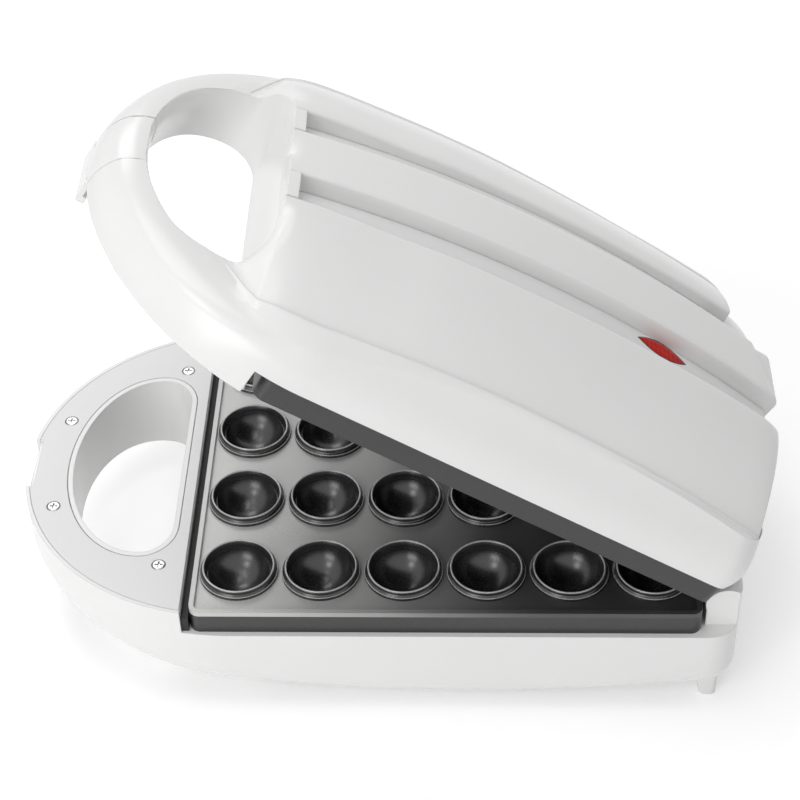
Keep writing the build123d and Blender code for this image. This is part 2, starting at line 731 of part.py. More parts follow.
def make_lid_housing():
    """Moulded lid: ring, flanks, creased dome with two grooves, hinge lugs and posts."""
    skin = lid_skirt(0) + lid_dome(0)
    for cut in groove_cuts(0):
        skin -= cut
    skin -= slab(-half_width - 5, half_width + 5, panel_end - 1.5, stern_y + 5, top - 5, band_bottom)
    relief = [
        (stern_y, band_bottom - 1),
        (lid_levels[0][3] - hinge_relief[0], band_bottom - 1),
        (lid_levels[0][3] - hinge_relief[0], band_bottom),
        (lid_levels[0][3] + 0.5, band_bottom + hinge_relief[1]),
        (stern_y, band_bottom + hinge_relief[1]),
    ]
    skin -= side_profile(relief, -half_width, half_width)
    solid_skin = skin
    dome_room = lid_dome(wall)
    for cut in groove_cuts(wall):
        dome_room -= cut
    room = lid_skirt(wall) + dome_room
    room -= raised(hole_plan(wall + 1, lid_hole_extra + lid_hole_flare), 0, top + 120)
    partition = slab(-half_width, half_width, panel_end - wall, panel_end, top - 5, band_bottom + 3)
    ledge_ring = slab(-half_width, half_width, panel_end, stern_y, band_bottom - 5, band_bottom + 3)
    ledge_ring -= raised(plate_plan(lip_width + 0.8), band_bottom - 6, band_bottom + 4)
    latch_wall_block = slab(-latch_half_width - 4, latch_half_width + 4, nose_centre - nose_reach,
                            hole_middle - hole_front_reach, top - 5, top + 60)
    body = skin - (room - partition - ledge_ring - latch_wall_block)
    ring_bed = raised(housing_plan(half_width - panel_inset, nose_reach - panel_inset, stern_y, stern_corner),
                      top - 5, top + closing_gap + panel_thickness)
    ring_bed &= slab(-half_width, half_width, -300, panel_end, 0, top + 50)
    ring_bed -= raised(hole_plan(wall, lid_hole_extra), 0, top + 50)
    body -= ring_bed
    body -= slab(-half_width - 5, half_width + 5, -300, stern_y, top - 10, top + closing_gap)
    body -= lid_hole(0)
    for lug in hinge_lugs():
        body += lug
    body -= latch_room(slide_gap)
    points = mirrored_pair([upper_fixing, (upper_fixing[0], -upper_fixing[1])])
    for post in screw_posts(points, fixing_boss, upper_tray + sheet, top + 80):
        body += post & solid_skin
    head_seat = upper_tray + sheet + 6.0
    body -= screw_posts(points, fixing_head + assembly_gap, head_seat, top + 80)
    body -= screw_posts(points, fixing_shank + 0.2, upper_tray - 1, head_seat + 1)
    ring_points = mirrored_pair([side_screw, front_screw])
    bed_top = top + closing_gap + panel_thickness
    for post in screw_posts(ring_points, screw_boss_radius, bed_top, top + 60):
        body += post & solid_skin
    body -= screw_posts(ring_points, screw_shank_radius + 0.02, top, bed_top + screw_length - panel_thickness)
    lens_x = panel_half_width + assembly_gap + lens_width / 2 + 0.6
    body -= upright(lamp_radius + assembly_gap, 30, lens_x, lens_y, top + crown_at(lens_y) - groove_depth - 20)
    pin_side = latch_half_width + slide_gap + 3.0
    body -= crossbar(latch_pin_radius + 0.02, -pin_side, pin_side, *latch_axis_point)
    return body


def lens_plan(grow):
    """Pointed oval of the indicator window."""
    half = lens_length / 2 + grow
    side = lens_width / 2 + grow
    right = ThreePointArc((0, -half), (side, 0), (0, half))
    left = ThreePointArc((0, half), (-side, 0), (0, -half))
    lens_x = panel_half_width + assembly_gap + lens_width / 2 + 0.6
    return Pos(lens_x, lens_y) * make_face([right, left])


def make_trim(sign):
    """Strip that lies in one groove and covers the lid's screws."""
    low, high = sorted((sign * (panel_half_width + assembly_gap), sign * (groove_outer - assembly_gap)))
    rear = trim_rear
    strip = arc_band(groove_depth, crown_height + 20, low, high, trim_front, rear)
    strip -= arc_band(groove_depth - trim_thickness, crown_height + 30, low - 5, high + 5, trim_front - 5, rear + 5)
    if sign > 0:
        strip -= raised(lens_plan(assembly_gap), top + 20, top + 100)
    return strip


def make_lens():
    """Red window that lies in the right strip."""
    lens = raised(lens_plan(0), top + 20, top + 100)
    lens &= arc_band(groove_depth, crown_height + 20, 0, groove_outer, lens_y - 30, lens_y + 30)
    lens -= arc_band(groove_depth - trim_thickness - lens_proud, crown_height + 30, -5, groove_outer + 5,
                     lens_y - 35, lens_y + 35)
    return lens


def make_lamp():
    """Neon lamp in its holder under the window."""
    lens_x = panel_half_width + assembly_gap + lens_width / 2 + 0.6
    seat = top + crown_at(lens_y + lamp_flange, groove_depth + wall) - 0.05
    body = upright(lamp_radius, lamp_length, lens_x, lens_y, seat - lamp_length + wall)
    flange = upright(lamp_flange, 1.6, lens_x, lens_y, seat - 1.6)
    return body + flange


def make_lid_handle_panel():
    """Flat cover under the lid's handle ring."""
    side = half_width - panel_inset - assembly_gap / 2
    reach = nose_reach - panel_inset - assembly_gap / 2
    low = top + closing_gap
    cover = raised(housing_plan(side, reach, stern_y, stern_corner), low, low + panel_thickness)
    cover &= slab(-half_width, half_width, -300, panel_end - assembly_gap, 0, top + 50)
    cover -= raised(hole_plan(wall + assembly_gap, lid_hole_extra), 0, top + 50)
    cover -= slab(-latch_half_width - 1, latch_half_width + 1, nose_centre - nose_reach - 5,
                  nose_centre - nose_reach + latch_wall + 1.6, 0, top + 50)
    for x, y in mirrored_pair([side_screw, front_screw]):
        cover -= upright(screw_shank_radius + 0.3, 10, x, y, top - 2)
        cover -= upright(screw_head_radius + 0.2, screw_head_height, x, y, low - 0.4)
    return cover


def make_lid_handle_screws():
    """Four screws that hold the lid's handle panel, heads down."""
    screw = cross_screw(screw_head_radius, screw_head_height, screw_shank_radius, screw_length - panel_thickness)
    seat = top + closing_gap - 0.4 + screw_head_height
    return [Pos(x, y, seat) * Rot(180, 0, 0) * screw for x, y in mirrored_pair([side_screw, front_screw])]


def make_latch_clip():
    """Cap over the lid's nose: skins on top, ahead and behind, a pin barrel and the hooking tooth."""
    nose = nose_centre - nose_reach
    side = latch_half_width
    skirt = lid_skirt(0)
    tail = hole_middle - hole_front_reach - lid_hole_extra
    zone = slab(-side, side, nose - 5, tail - 0.3, top + bridge_height + 3.5, top + 60)
    cap = (skirt & zone) - lid_hole(0)
    core_y = (nose + latch_wall, tail - latch_wall)
    core = slab(-side - 1, side + 1, core_y[0], core_y[1], top - 5, top + 60)
    hollow = (Pos(0, 0, -latch_wall) * lid_skirt(0)) & core
    cap -= hollow
    front = (skirt & slab(-side, side, nose - 5, nose + latch_wall, top + 0.0, top + bridge_height + 4))
    tongue = slab(-side, side, nose + 0.6, nose + latch_wall, top - latch_drop, top + 1.0)
    tooth_profile = [
        (nose + latch_wall - 0.5, top - latch_drop),
        (nose + latch_wall + latch_tooth - 2.0, top - latch_drop),
        (nose + latch_wall + latch_tooth - 2.0, ledge_low - slide_gap),
        (nose + latch_wall - 0.5, ledge_low - slide_gap),
    ]
    tooth = side_profile(tooth_profile, -side, side)
    barrel = crossbar(latch_barrel, -side, side, *latch_axis_point)
    rib = slab(-side, side, latch_axis_point[0] - 1.2, latch_axis_point[0] + 1.2, latch_axis_point[1], top + 40)
    clip = cap + front + tongue + tooth + barrel + (rib & skirt)
    return clip - crossbar(latch_pin_radius + pin_fit, -side - 1, side + 1, *latch_axis_point)


def make_latch_pin():
    """Steel pin of the latch, held in the lid's nose."""
    reach = latch_half_width + slide_gap + 3.0 - 0.1
    return crossbar(latch_pin_radius, -reach, reach, *latch_axis_point)


def make_hinge_pins():
    """Two steel pins through the tower and the lid's lugs."""
    pins = []
    for sign in (-1, 1):
        ends = sorted((sign * (lug_inner - pin_seat + 0.1), sign * (lug_inner + lug_width + pin_seat - 0.1)))
        pins.append(crossbar(pin_radius, ends[0], ends[1], hinge_y, top))
    return pins


def make_front_feet():
    """Rubber button feet with stems pushed into the base."""
    feet = []
    for x, y in mirrored_pair([(foot_x, foot_y)]):
        button = upright(foot_radius, foot_height, x, y, 0)
        button = fillet(button.edges().group_by(Axis.Z)[0], 1.5)
        feet.append(button + upright(foot_stem - 0.02, 5.5, x, y, foot_height))
    return feet


def make_cord_gland():
    """Flanged ring in the rear wall where the mains lead enters."""
    ring = Cylinder(gland_radius - 0.05, wall + 2 * gland_lip)
    flange = Pos(0, 0, wall / 2 + gland_lip / 2) * Cylinder(gland_flange, gland_lip)
    body = ring + flange - Cylinder(gland_bore, 40)
    return Pos(0, stern_y - wall / 2, gland_height) * Rot(-90, 0, 0) * body


def make_terminal_block():
    """Ceramic block where the lead meets the element wires."""
    length, depth, height = block_size
    block = Pos(0, block_y, block_seat + height / 2) * Box(length, depth, height)
    for x in (-length / 4, length / 4):
        block -= upright(2.6, height, x, block_y, block_seat + 4)
        block -= Pos(x, block_y, block_seat + height / 2) * Rot(90, 0, 0) * Cylinder(1.9, depth + 2)
    return block


def make_thermostat():
    """Bimetal thermostat on the upper reflector."""
    seat = upper_tray + sheet
    body = upright(thermostat_radius, thermostat_height, 0, 0, seat)
    flange = slab(-14, 14, -5, 5, seat, seat + 1.2)
    tabs = [slab(x - 0.4, x + 0.4, -3, 3, seat + thermostat_height - 1, seat + thermostat_height + 6) for x in (-4, 4)]
    return body + flange + tabs[0] + tabs[1]


def make_thermal_fuse():
    """Thermal fuse in its sleeve on the lower reflector."""
    body = Pos(0, 0, lower_tray - fuse_radius) * Rot(90, 0, 0) * Cylinder(fuse_radius, fuse_length)
    clip = slab(-fuse_radius - 5, fuse_radius + 5, -4, 4, lower_tray - 1.0, lower_tray)
    return body + clip


def make_lower_leads():
    """Two sleeved wires from the element's cold ends to the terminal block."""
    leads = []
    start_z = lower_tray - cold_end
    block_top = block_seat + block_size[2]
    for sign in (-1, 1):
        x = sign * terminal_gap / 2
        x_end = sign * block_size[0] / 4
        path = FilletPolyline(
            (x, grid_y[-1], start_z),
            (x, grid_y[-1], start_z - 5.0),
            (x_end, block_y, block_top + 8.5),
            (x_end, block_y, block_top - 5.0),
            radius=1.4,
        )
        facing = Plane(origin=(x, grid_y[-1], start_z), z_dir=(0, 0, -1))
        leads.append(sweep(facing * Circle(wire_radius), path))
    return leads


base_nodes = {
    "base_housing": make_base_housing,
    "handle_panel": make_handle_panel,
    "handle_panel_screws": make_handle_panel_screws,
    "lower_plate": make_lower_plate,
    "lower_cups": make_lower_cups,
    "lower_heater": make_lower_heater,
    "lower_reflector": make_lower_tray,
    "lower_plate_screws": lambda: fixing_screws(
        mirrored_pair([lower_fixing, (lower_fixing[0], -lower_fixing[1])]), lower_tray - 8.0, True
    ),
    "hinge_pins": make_hinge_pins,
    "front_feet": make_front_feet,
    "cord_gland": make_cord_gland,
    "terminal_block": make_terminal_block,
    "thermal_fuse": make_thermal_fuse,
    "lower_leads": make_lower_leads,
}
lid_nodes = {
    "lid_housing": make_lid_housing,
    "right_groove_trim": lambda: make_trim(1),
    "left_groove_trim": lambda: make_trim(-1),
    "indicator_lens": make_lens,
    "indicator_lamp": make_lamp,
    "upper_plate": make_upper_plate,
    "upper_formers": make_upper_formers,
    "upper_heater": make_upper_heater,
    "upper_reflector": make_upper_tray,
    "upper_plate_screws": lambda: fixing_screws(
        mirrored_pair([upper_fixing, (upper_fixing[0], -upper_fixing[1])]), upper_tray + sheet + 6.0, False
    ),
    "lid_handle_panel": make_lid_handle_panel,
    "lid_handle_screws": make_lid_handle_screws,
    "thermostat": make_thermostat,
    "latch_pin": make_latch_pin,
}
latch_nodes = {"latch_clip": make_latch_clip}


def gather(result):
    """One compound from a solid or a list of solids."""
    pieces = result if isinstance(result, list) else [result]
    return Compound([solid for piece in pieces for solid in piece.solids()])


def build_all():
    """Every node, with the lid opened to its rest angle."""
    nodes = {name: gather(make()) for name, make in base_nodes.items()}
    for name, make in {**lid_nodes, **latch_nodes}.items():
        nodes[name] = gather(make()).rotate(hinge_axis, rest_angle)
    return nodes


nodes = build_all()
boxes = [node.bounding_box() for node in nodes.values()]
front, back = min(box.min.Y for box in boxes), max(box.max.Y for box in boxes)
shift = -(front + back) / 2
os.makedirs("parts", exist_ok=True)
for name, node in nodes.items():
    export_step(node.moved(Pos(0, shift, 0)), f"parts/{name}.step")
print("shift along Y", round(shift, 3))
print("length", round(back - front, 2), "height", round(max(box.max.Z for box in boxes), 2))
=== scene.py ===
import logging
from dataclasses import dataclass, replace
from enum import Enum
from math import cos, pi, radians, sin, sqrt
from typing import Any, Callable

import bmesh
import bpy
import numpy as np
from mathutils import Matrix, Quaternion, Vector


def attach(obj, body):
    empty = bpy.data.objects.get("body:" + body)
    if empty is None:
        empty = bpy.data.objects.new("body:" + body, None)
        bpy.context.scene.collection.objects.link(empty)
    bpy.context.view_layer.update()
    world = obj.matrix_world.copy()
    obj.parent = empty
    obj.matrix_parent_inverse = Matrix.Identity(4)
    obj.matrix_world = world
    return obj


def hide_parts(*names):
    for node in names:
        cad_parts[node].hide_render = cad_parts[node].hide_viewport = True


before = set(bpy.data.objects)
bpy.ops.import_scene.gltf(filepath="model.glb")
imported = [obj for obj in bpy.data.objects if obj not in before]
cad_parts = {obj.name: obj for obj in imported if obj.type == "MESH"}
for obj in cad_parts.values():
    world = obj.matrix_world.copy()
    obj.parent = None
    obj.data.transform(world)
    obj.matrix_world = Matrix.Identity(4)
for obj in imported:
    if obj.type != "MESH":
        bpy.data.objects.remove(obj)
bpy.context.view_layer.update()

log = logging.getLogger("nut_cookie_maker")
Colour = tuple[float, float, float]
Place = tuple[float, float, float]
Table = tuple[tuple[float, float], ...]
Array = np.ndarray
MM = 0.001
SUNK = 0.00025  # metres that the handle screws' heads sit below the nodes' place, clear when shut


# ---- shader wiring
class Value:
    """A number that varies over a surface: a node socket that takes part in arithmetic."""

    def __init__(self, wiring: "Wiring", socket: bpy.types.NodeSocket) -> None:
        """Keep the socket and the wiring that it belongs to."""
        self.wiring = wiring
        self.socket = socket

    def _join(self, operation: str, first: Any, second: Any) -> "Value":
        """Result of one Math node on two operands, each a Value or a number."""
        made = self.wiring.node("ShaderNodeMath", {"operation": operation}, {0: first, 1: second})
        return Value(self.wiring, made.outputs[0])

    def __add__(self, other: Any) -> "Value":
        """Sum."""
        return self._join("ADD", self, other)

    def __radd__(self, other: Any) -> "Value":
        """Sum with the number first."""
        return self._join("ADD", other, self)

    def __sub__(self, other: Any) -> "Value":
        """Difference."""
        return self._join("SUBTRACT", self, other)

    def __rsub__(self, other: Any) -> "Value":
        """Difference with the number first."""
        return self._join("SUBTRACT", other, self)

    def __mul__(self, other: Any) -> "Value":
        """Product."""
        return self._join("MULTIPLY", self, other)

    def clamped(self) -> "Value":
        """The value held between 0 and 1."""
        return self._join("MINIMUM", self._join("MAXIMUM", self, 0.0), 1.0)


class Wiring:
    """Node tree of one material, with one method that adds any node."""

    def __init__(self, title: str, world: bpy.types.World | None = None) -> None:
        """Start with an empty tree, of a new material or of the world.

        Args:
            title: the material's name.
            world: the world whose tree it is, if it isn't a material's.
        """
        self.material = world or bpy.data.materials.new(title)
        self.material.use_nodes = True
        self.tree = self.material.node_tree
        self.tree.nodes.clear()

    def node(self, kind: str, settings: dict[str, Any] | None = None,
             inputs: dict[Any, Any] | None = None) -> bpy.types.Node:
        """Add a node.

        Args:
            kind: the node's type.
            settings: its own settings, set first.
            inputs: a value or a link for each socket, by name or place.

        Returns:
            The new node.
        """
        made = self.tree.nodes.new(kind)
        for name, value in (settings or {}).items():
            setattr(made, name, value)
        for name, value in (inputs or {}).items():
            self.plug(made.inputs[name], value)
        return made

    def plug(self, socket: bpy.types.NodeSocket, value: Any) -> None:
        """Link a socket, or set its value."""
        if isinstance(value, Value):
            self.tree.links.new(value.socket, socket)
        elif isinstance(value, bpy.types.NodeSocket):
            self.tree.links.new(value, socket)
        elif isinstance(value, tuple) and len(value) == 3 and socket.type == "RGBA":
            socket.default_value = (*value, 1.0)
        else:
            socket.default_value = value

    def place(self) -> bpy.types.NodeSocket:
        """Object coordinates, in metres in the object's frame."""
        return self.node("ShaderNodeTexCoord").outputs["Object"]

    def stretched(self, scale: Place) -> bpy.types.NodeSocket:
        """Object coordinates, scaled apart along the three axes."""
        mapping = self.node("ShaderNodeMapping", {}, {"Vector": self.place(), "Scale": scale})
        return mapping.outputs[0]

    def noise(self, scale: float, detail: float = 3.0, roughness: float = 0.5,
              vector: bpy.types.NodeSocket | None = None) -> Value:
        """Smooth noise from 0 to 1.

        Args:
            scale: cells per metre.
            detail: octaves.
            roughness: weight of the fine octaves.
            vector: coordinates, Object coordinates by default.

        Returns:
            The noise.
        """
        made = self.node("ShaderNodeTexNoise", {}, {
            "Vector": vector or self.place(), "Scale": scale, "Detail": detail, "Roughness": roughness,
        })
        return Value(self, made.outputs[0])

    def band(self, value: Value, low: float, high: float) -> Value:
        """Smooth step of a value between two limits."""
        made = self.node("ShaderNodeMapRange", {"interpolation_type": "SMOOTHSTEP"},
                         {0: value, 1: low, 2: high, 3: 0.0, 4: 1.0})
        return Value(self, made.outputs[0])

    def blend(self, factor: Value, first: Any, second: Any) -> bpy.types.NodeSocket:
        """Mix of two colours."""
        made = self.node("ShaderNodeMix", {"data_type": "RGBA"}, {"Factor": factor, 6: first, 7: second})
        return made.outputs[2]

    def relief(self, height: Value, depth: float, strength: float = 1.0,
               edge: float = 0.0) -> bpy.types.NodeSocket:
        """Bump from a height.

        Args:
            height: the relief from 0 to 1.
            depth: its depth in metres.
            strength: how much of it shows.
            edge: radius in metres that softens the sharp edges, or 0 for none.

        Returns:
            The bent normal.
        """
        inputs: dict[str, Any] = {"Height": height, "Distance": depth, "Strength": strength}
        if edge > 0:
            inputs["Normal"] = self.node("ShaderNodeBevel", {"samples": 6}, {"Radius": edge}).outputs[0]
        return self.node("ShaderNodeBump", {}, inputs).outputs[0]

    def surface(self, **inputs: Any) -> bpy.types.Material:
        """Finish the tree with one Principled surface.

        Args:
            inputs: its sockets, with underscores for spaces.

        Returns:
            The material.
        """
        shader = self.node("ShaderNodeBsdfPrincipled", {},
                           {name.replace("_", " "): value for name, value in inputs.items()})
        self.node("ShaderNodeOutputMaterial", {}, {"Surface": shader.outputs[0]})
        return self.material


# ---- finishes
@dataclass(frozen=True)
class MouldedPlastic:
    """White moulded plastic: even colour, faint flow mottling and a shallow orange peel."""

    title: str
    colour: Colour
    shade: Colour
    gloss: float
    mottle: float = 0.05
    peel: float = 0.000012
    edge: float = 0.0006

    def material(self) -> bpy.types.Material:
        """Build the material."""
        w = Wiring(self.title)
        flow = w.noise(9.0, 2.0)
        fine = w.noise(420.0, 2.0)
        grain = w.noise(2600.0, 1.0)
        tone = w.blend(w.band(flow * 0.8 + fine * 0.2, 0.25, 0.8), self.shade, self.colour)
        rough = self.gloss + (flow - 0.5) * self.mottle + (fine - 0.5) * self.mottle * 0.6
        return w.surface(
            Base_Color=tone,
            Roughness=rough.clamped(),
            IOR=1.5,
            Normal=w.relief(fine * 0.7 + grain * 0.3, self.peel, 1.0, self.edge),
        )


@dataclass(frozen=True)
class NonStick:
    """Dark non-stick coat on cast metal: sprayed speckle, fine pebbled relief and a soft sheen."""

    title: str
    colour: Colour
    fleck: Colour
    gloss: float
    # pale colour, height and Y range of a painted sheen; at 9 m high none is painted
    sheen_colour: Colour = (0.02, 0.02, 0.02)
    sheen_above: float = 9.0
    sheen_along: tuple[float, float] = (-0.09, 0.08)

    def material(self) -> bpy.types.Material:
        """Build the material; a face higher than sheen_above gets a painted sheen: paler, and palest towards
        the handle.
        """
        w = Wiring(self.title)
        cloud = w.noise(28.0, 3.0)
        speck = w.noise(1500.0, 2.0, 0.6)
        pebble = w.noise(900.0, 3.0, 0.55)
        place = w.node("ShaderNodeSeparateXYZ", {}, {"Vector": w.place()})
        height, along = Value(w, place.outputs["Z"]), Value(w, place.outputs["Y"])
        # painted sheen: faces above sheen_above are painted paler, palest towards the handle, and made a
        # little smoother
        sheen_mask = w.band(height, self.sheen_above, self.sheen_above + 0.0003)
        sheen_mask = sheen_mask * (0.95 - w.band(along, *self.sheen_along) * 0.9) * (0.8 + cloud * 0.4)
        sheen_mask = sheen_mask.clamped()
        tone = w.blend(w.band(speck, 0.56, 0.7) * 0.7 + cloud * 0.2, self.colour, self.fleck)
        tone = w.blend(sheen_mask, tone, self.sheen_colour)
        rough = self.gloss + (cloud - 0.5) * 0.12 + (pebble - 0.5) * 0.16 - sheen_mask * 0.06
        return w.surface(
            Base_Color=tone,
            Roughness=rough.clamped(),
            IOR=1.62,
            Normal=w.relief(pebble * 0.8 + speck * 0.2, 0.00002, 0.6, 0.0004),
        )


@dataclass(frozen=True)
class SmoothCoat:
    """Smooth dark non-stick coat: even, faintly clouded, with a polished sheen."""

    title: str
    colour: Colour
    cloudy: Colour
    gloss: float

    def material(self) -> bpy.types.Material:
        """Build the material."""
        w = Wiring(self.title)
        cloud = w.noise(70.0, 3.0)
        fine = w.noise(700.0, 2.0)
        return w.surface(
            Base_Color=w.blend(w.band(cloud, 0.35, 0.75), self.colour, self.cloudy),
            Roughness=(self.gloss + (cloud - 0.5) * 0.08 + (fine - 0.5) * 0.03).clamped(),
            IOR=1.75,
            Normal=w.relief(fine, 0.000006, 0.6),
        )


@dataclass(frozen=True)
class Metal:
    """Bare or plated metal with drawn or turned lines."""

    title: str
    colour: Colour
    tint: Colour
    gloss: float
    lines: tuple[float, float, float]

    def material(self) -> bpy.types.Material:
        """Build the material."""
        w = Wiring(self.title)
        drawn = w.noise(1.0, 3.0, 0.6, w.stretched(self.lines))
        cloud = w.noise(60.0, 2.0)
        tone = w.blend(w.band(cloud, 0.35, 0.75), self.colour, self.tint)
        rough = self.gloss + (drawn - 0.5) * 0.22
        return w.surface(
            Base_Color=tone,
            Metallic=1.0,
            Roughness=rough.clamped(),
            Normal=w.relief(drawn, 0.00002, 0.7, 0.0002),
        )


@dataclass(frozen=True)
class Rubber:
    """Soft moulded rubber: dull, with a fine skin and paler dusted places."""

    title: str
    colour: Colour
    dust: Colour

    def material(self) -> bpy.types.Material:
        """Build the material."""
        w = Wiring(self.title)
        cloud = w.noise(90.0, 3.0)
        skin = w.noise(1800.0, 2.0)
        tone = w.blend(w.band(cloud, 0.45, 0.8), self.colour, self.dust)
        return w.surface(
            Base_Color=tone,
            Roughness=(0.62 + (skin - 0.5) * 0.2).clamped(),
            Normal=w.relief(skin, 0.00004, 0.8, 0.0003),
        )


@dataclass(frozen=True)
class ClearRed:
    """Clear red plastic over a dim lamp: deep colour, ribbed inside, polished outside."""

    title: str
    deep: Colour
    bright: Colour

    def material(self) -> bpy.types.Material:
        """Build the material."""
        w = Wiring(self.title)
        ribs = w.node("ShaderNodeTexWave", {"bands_direction": "Y"},
                      {"Vector": w.place(), "Scale": 160.0, "Distortion": 0.3, "Detail": 1.0})
        stripe = Value(w, ribs.outputs["Fac"])
        cloud = w.noise(150.0, 2.0)
        tone = w.blend((stripe * 0.35 + cloud * 0.5).clamped(), self.deep, self.bright)
        return w.surface(
            Base_Color=tone,
            Roughness=(0.12 + cloud * 0.08).clamped(),
            IOR=1.25,
            Normal=w.relief(stripe, 0.00003, 0.5, 0.0003),
        )


class Finish(Enum):
    """The finishes of the machine's pieces."""

    WHITE = MouldedPlastic("white_gloss_plastic", (0.86, 0.86, 0.855), (0.835, 0.835, 0.83), 0.24)
    SATIN = MouldedPlastic("satin_panel_plastic", (0.84, 0.84, 0.84), (0.82, 0.82, 0.82), 0.38, 0.06, 0.00002)
    PLATE = NonStick("non_stick_coating", (0.016, 0.016, 0.017), (0.036, 0.036, 0.037), 0.35)
    # lower plate: its floor gets a painted sheen, pale towards the handle
    PLATE_WITH_PAINTED_SHEEN = NonStick("non_stick_coating_painted_sheen", (0.016, 0.016, 0.017), (0.036, 0.036, 0.037), 0.35,
                          (0.62, 0.62, 0.61), 0.0622)
    GASKET = Rubber("gasket_rubber", (0.012, 0.012, 0.012), (0.02, 0.02, 0.02))
    CUP = SmoothCoat("smooth_non_stick_coating", (0.012, 0.012, 0.013), (0.020, 0.020, 0.021), 0.27)
    # pale coat for the cups' rims, collar ledges and ribs: painted highlight
    RIM_PAINTED_HIGHLIGHT = SmoothCoat("rim_painted_highlight_coating", (0.42, 0.42, 0.42), (0.60, 0.60, 0.60), 0.25)
    STEEL = Metal("plated_screw_steel", (0.55, 0.55, 0.56), (0.42, 0.42, 0.43), 0.28, (900.0, 900.0, 200.0))
    PIN = Metal("ground_pin_steel", (0.60, 0.60, 0.62), (0.5, 0.5, 0.52), 0.25, (40.0, 1800.0, 1800.0))
    ELEMENT = Metal("element_tube_steel", (0.30, 0.27, 0.25), (0.20, 0.17, 0.16), 0.45, (300.0, 300.0, 300.0))
    SHEET = Metal("reflector_sheet_metal", (0.72, 0.72, 0.73), (0.62, 0.62, 0.63), 0.3, (40.0, 700.0, 700.0))
    FOOT = Rubber("foot_rubber", (0.62, 0.62, 0.61), (0.7, 0.7, 0.69))
    GLAND = Rubber("gland_rubber", (0.66, 0.66, 0.65), (0.74, 0.74, 0.73))
    CERAMIC = MouldedPlastic("ceramic_insulator", (0.78, 0.75, 0.68), (0.7, 0.67, 0.6), 0.6, 0.1, 0.00006)
    SLEEVE = Rubber("woven_lead_sleeve", (0.58, 0.52, 0.42), (0.68, 0.62, 0.52))
    LENS = ClearRed("clear_red_window", (0.34, 0.003, 0.002), (0.72, 0.016, 0.008))
    LAMP = MouldedPlastic("lamp_holder_plastic", (0.75, 0.45, 0.3), (0.65, 0.38, 0.25), 0.4)
    PHENOLIC = MouldedPlastic("phenolic_moulding", (0.05, 0.045, 0.04), (0.08, 0.07, 0.06), 0.45, 0.1,
                              0.00004)


FINISHED: dict[Finish, str] = {
    Finish.WHITE: "base_housing lid_housing latch_clip",
    Finish.SATIN: "handle_panel lid_handle_panel right_groove_trim left_groove_trim",
    Finish.STEEL: "handle_panel_screws lid_handle_screws lower_plate_screws upper_plate_screws",
    Finish.PLATE_WITH_PAINTED_SHEEN: "lower_plate",
    Finish.PLATE: "upper_plate",
    Finish.CUP: "lower_cups upper_formers",
    Finish.ELEMENT: "lower_heater upper_heater thermal_fuse",
    Finish.SHEET: "lower_reflector upper_reflector",
    Finish.PIN: "hinge_pins latch_pin",
    Finish.FOOT: "front_feet",
    Finish.GLAND: "cord_gland",
    Finish.CERAMIC: "terminal_block",
    Finish.SLEEVE: "lower_leads",
    Finish.LENS: "indicator_lens",
    Finish.LAMP: "indicator_lamp",
    Finish.PHENOLIC: "thermostat",
}
NODE_FINISH = {node: finish for finish, nodes in FINISHED.items() for node in nodes.split()}


class Paintbox:
    """Materials by finish, each built once."""

    def __init__(self) -> None:
        """Start with no material built."""
        self.made: dict[Finish, bpy.types.Material] = {}

    def get(self, finish: Finish) -> bpy.types.Material:
        """The material of a finish."""
        if finish not in self.made:
            self.made[finish] = finish.value.material()
        return self.made[finish]

    def dress(self, piece: bpy.types.Object, finish: Finish) -> None:
        """Give a piece one finish all over."""
        piece.data.materials.clear()
        piece.data.materials.append(self.get(finish))


# ---- numpy shapes
def smooth(table: Table, place: Array) -> Array:
    """Cubic Hermite curve through the rows of a table; the slope at a row is the chord past it.

    Args:
        table: rows of place and value, in rising order of place.
        place: where the curve is read; outside the table it keeps the end's value.

    Returns:
        The curve's values.
    """
    x, v = np.array(table, float).T
    slope = np.gradient(v, x)
    slope[1:-1] = (v[2:] - v[:-2]) / (x[2:] - x[:-2])
    i = np.clip(np.searchsorted(x, place, side="right") - 1, 0, len(x) - 2)
    span = x[i + 1] - x[i]
    t = np.clip((place - x[i]) / span, 0.0, 1.0)
    rise = (3.0 - 2.0 * t) * t ** 2
    return (v[i] * (1.0 - rise) + v[i + 1] * rise
            + span * (t * (1.0 - t) ** 2 * slope[i] - t ** 2 * (1.0 - t) * slope[i + 1]))


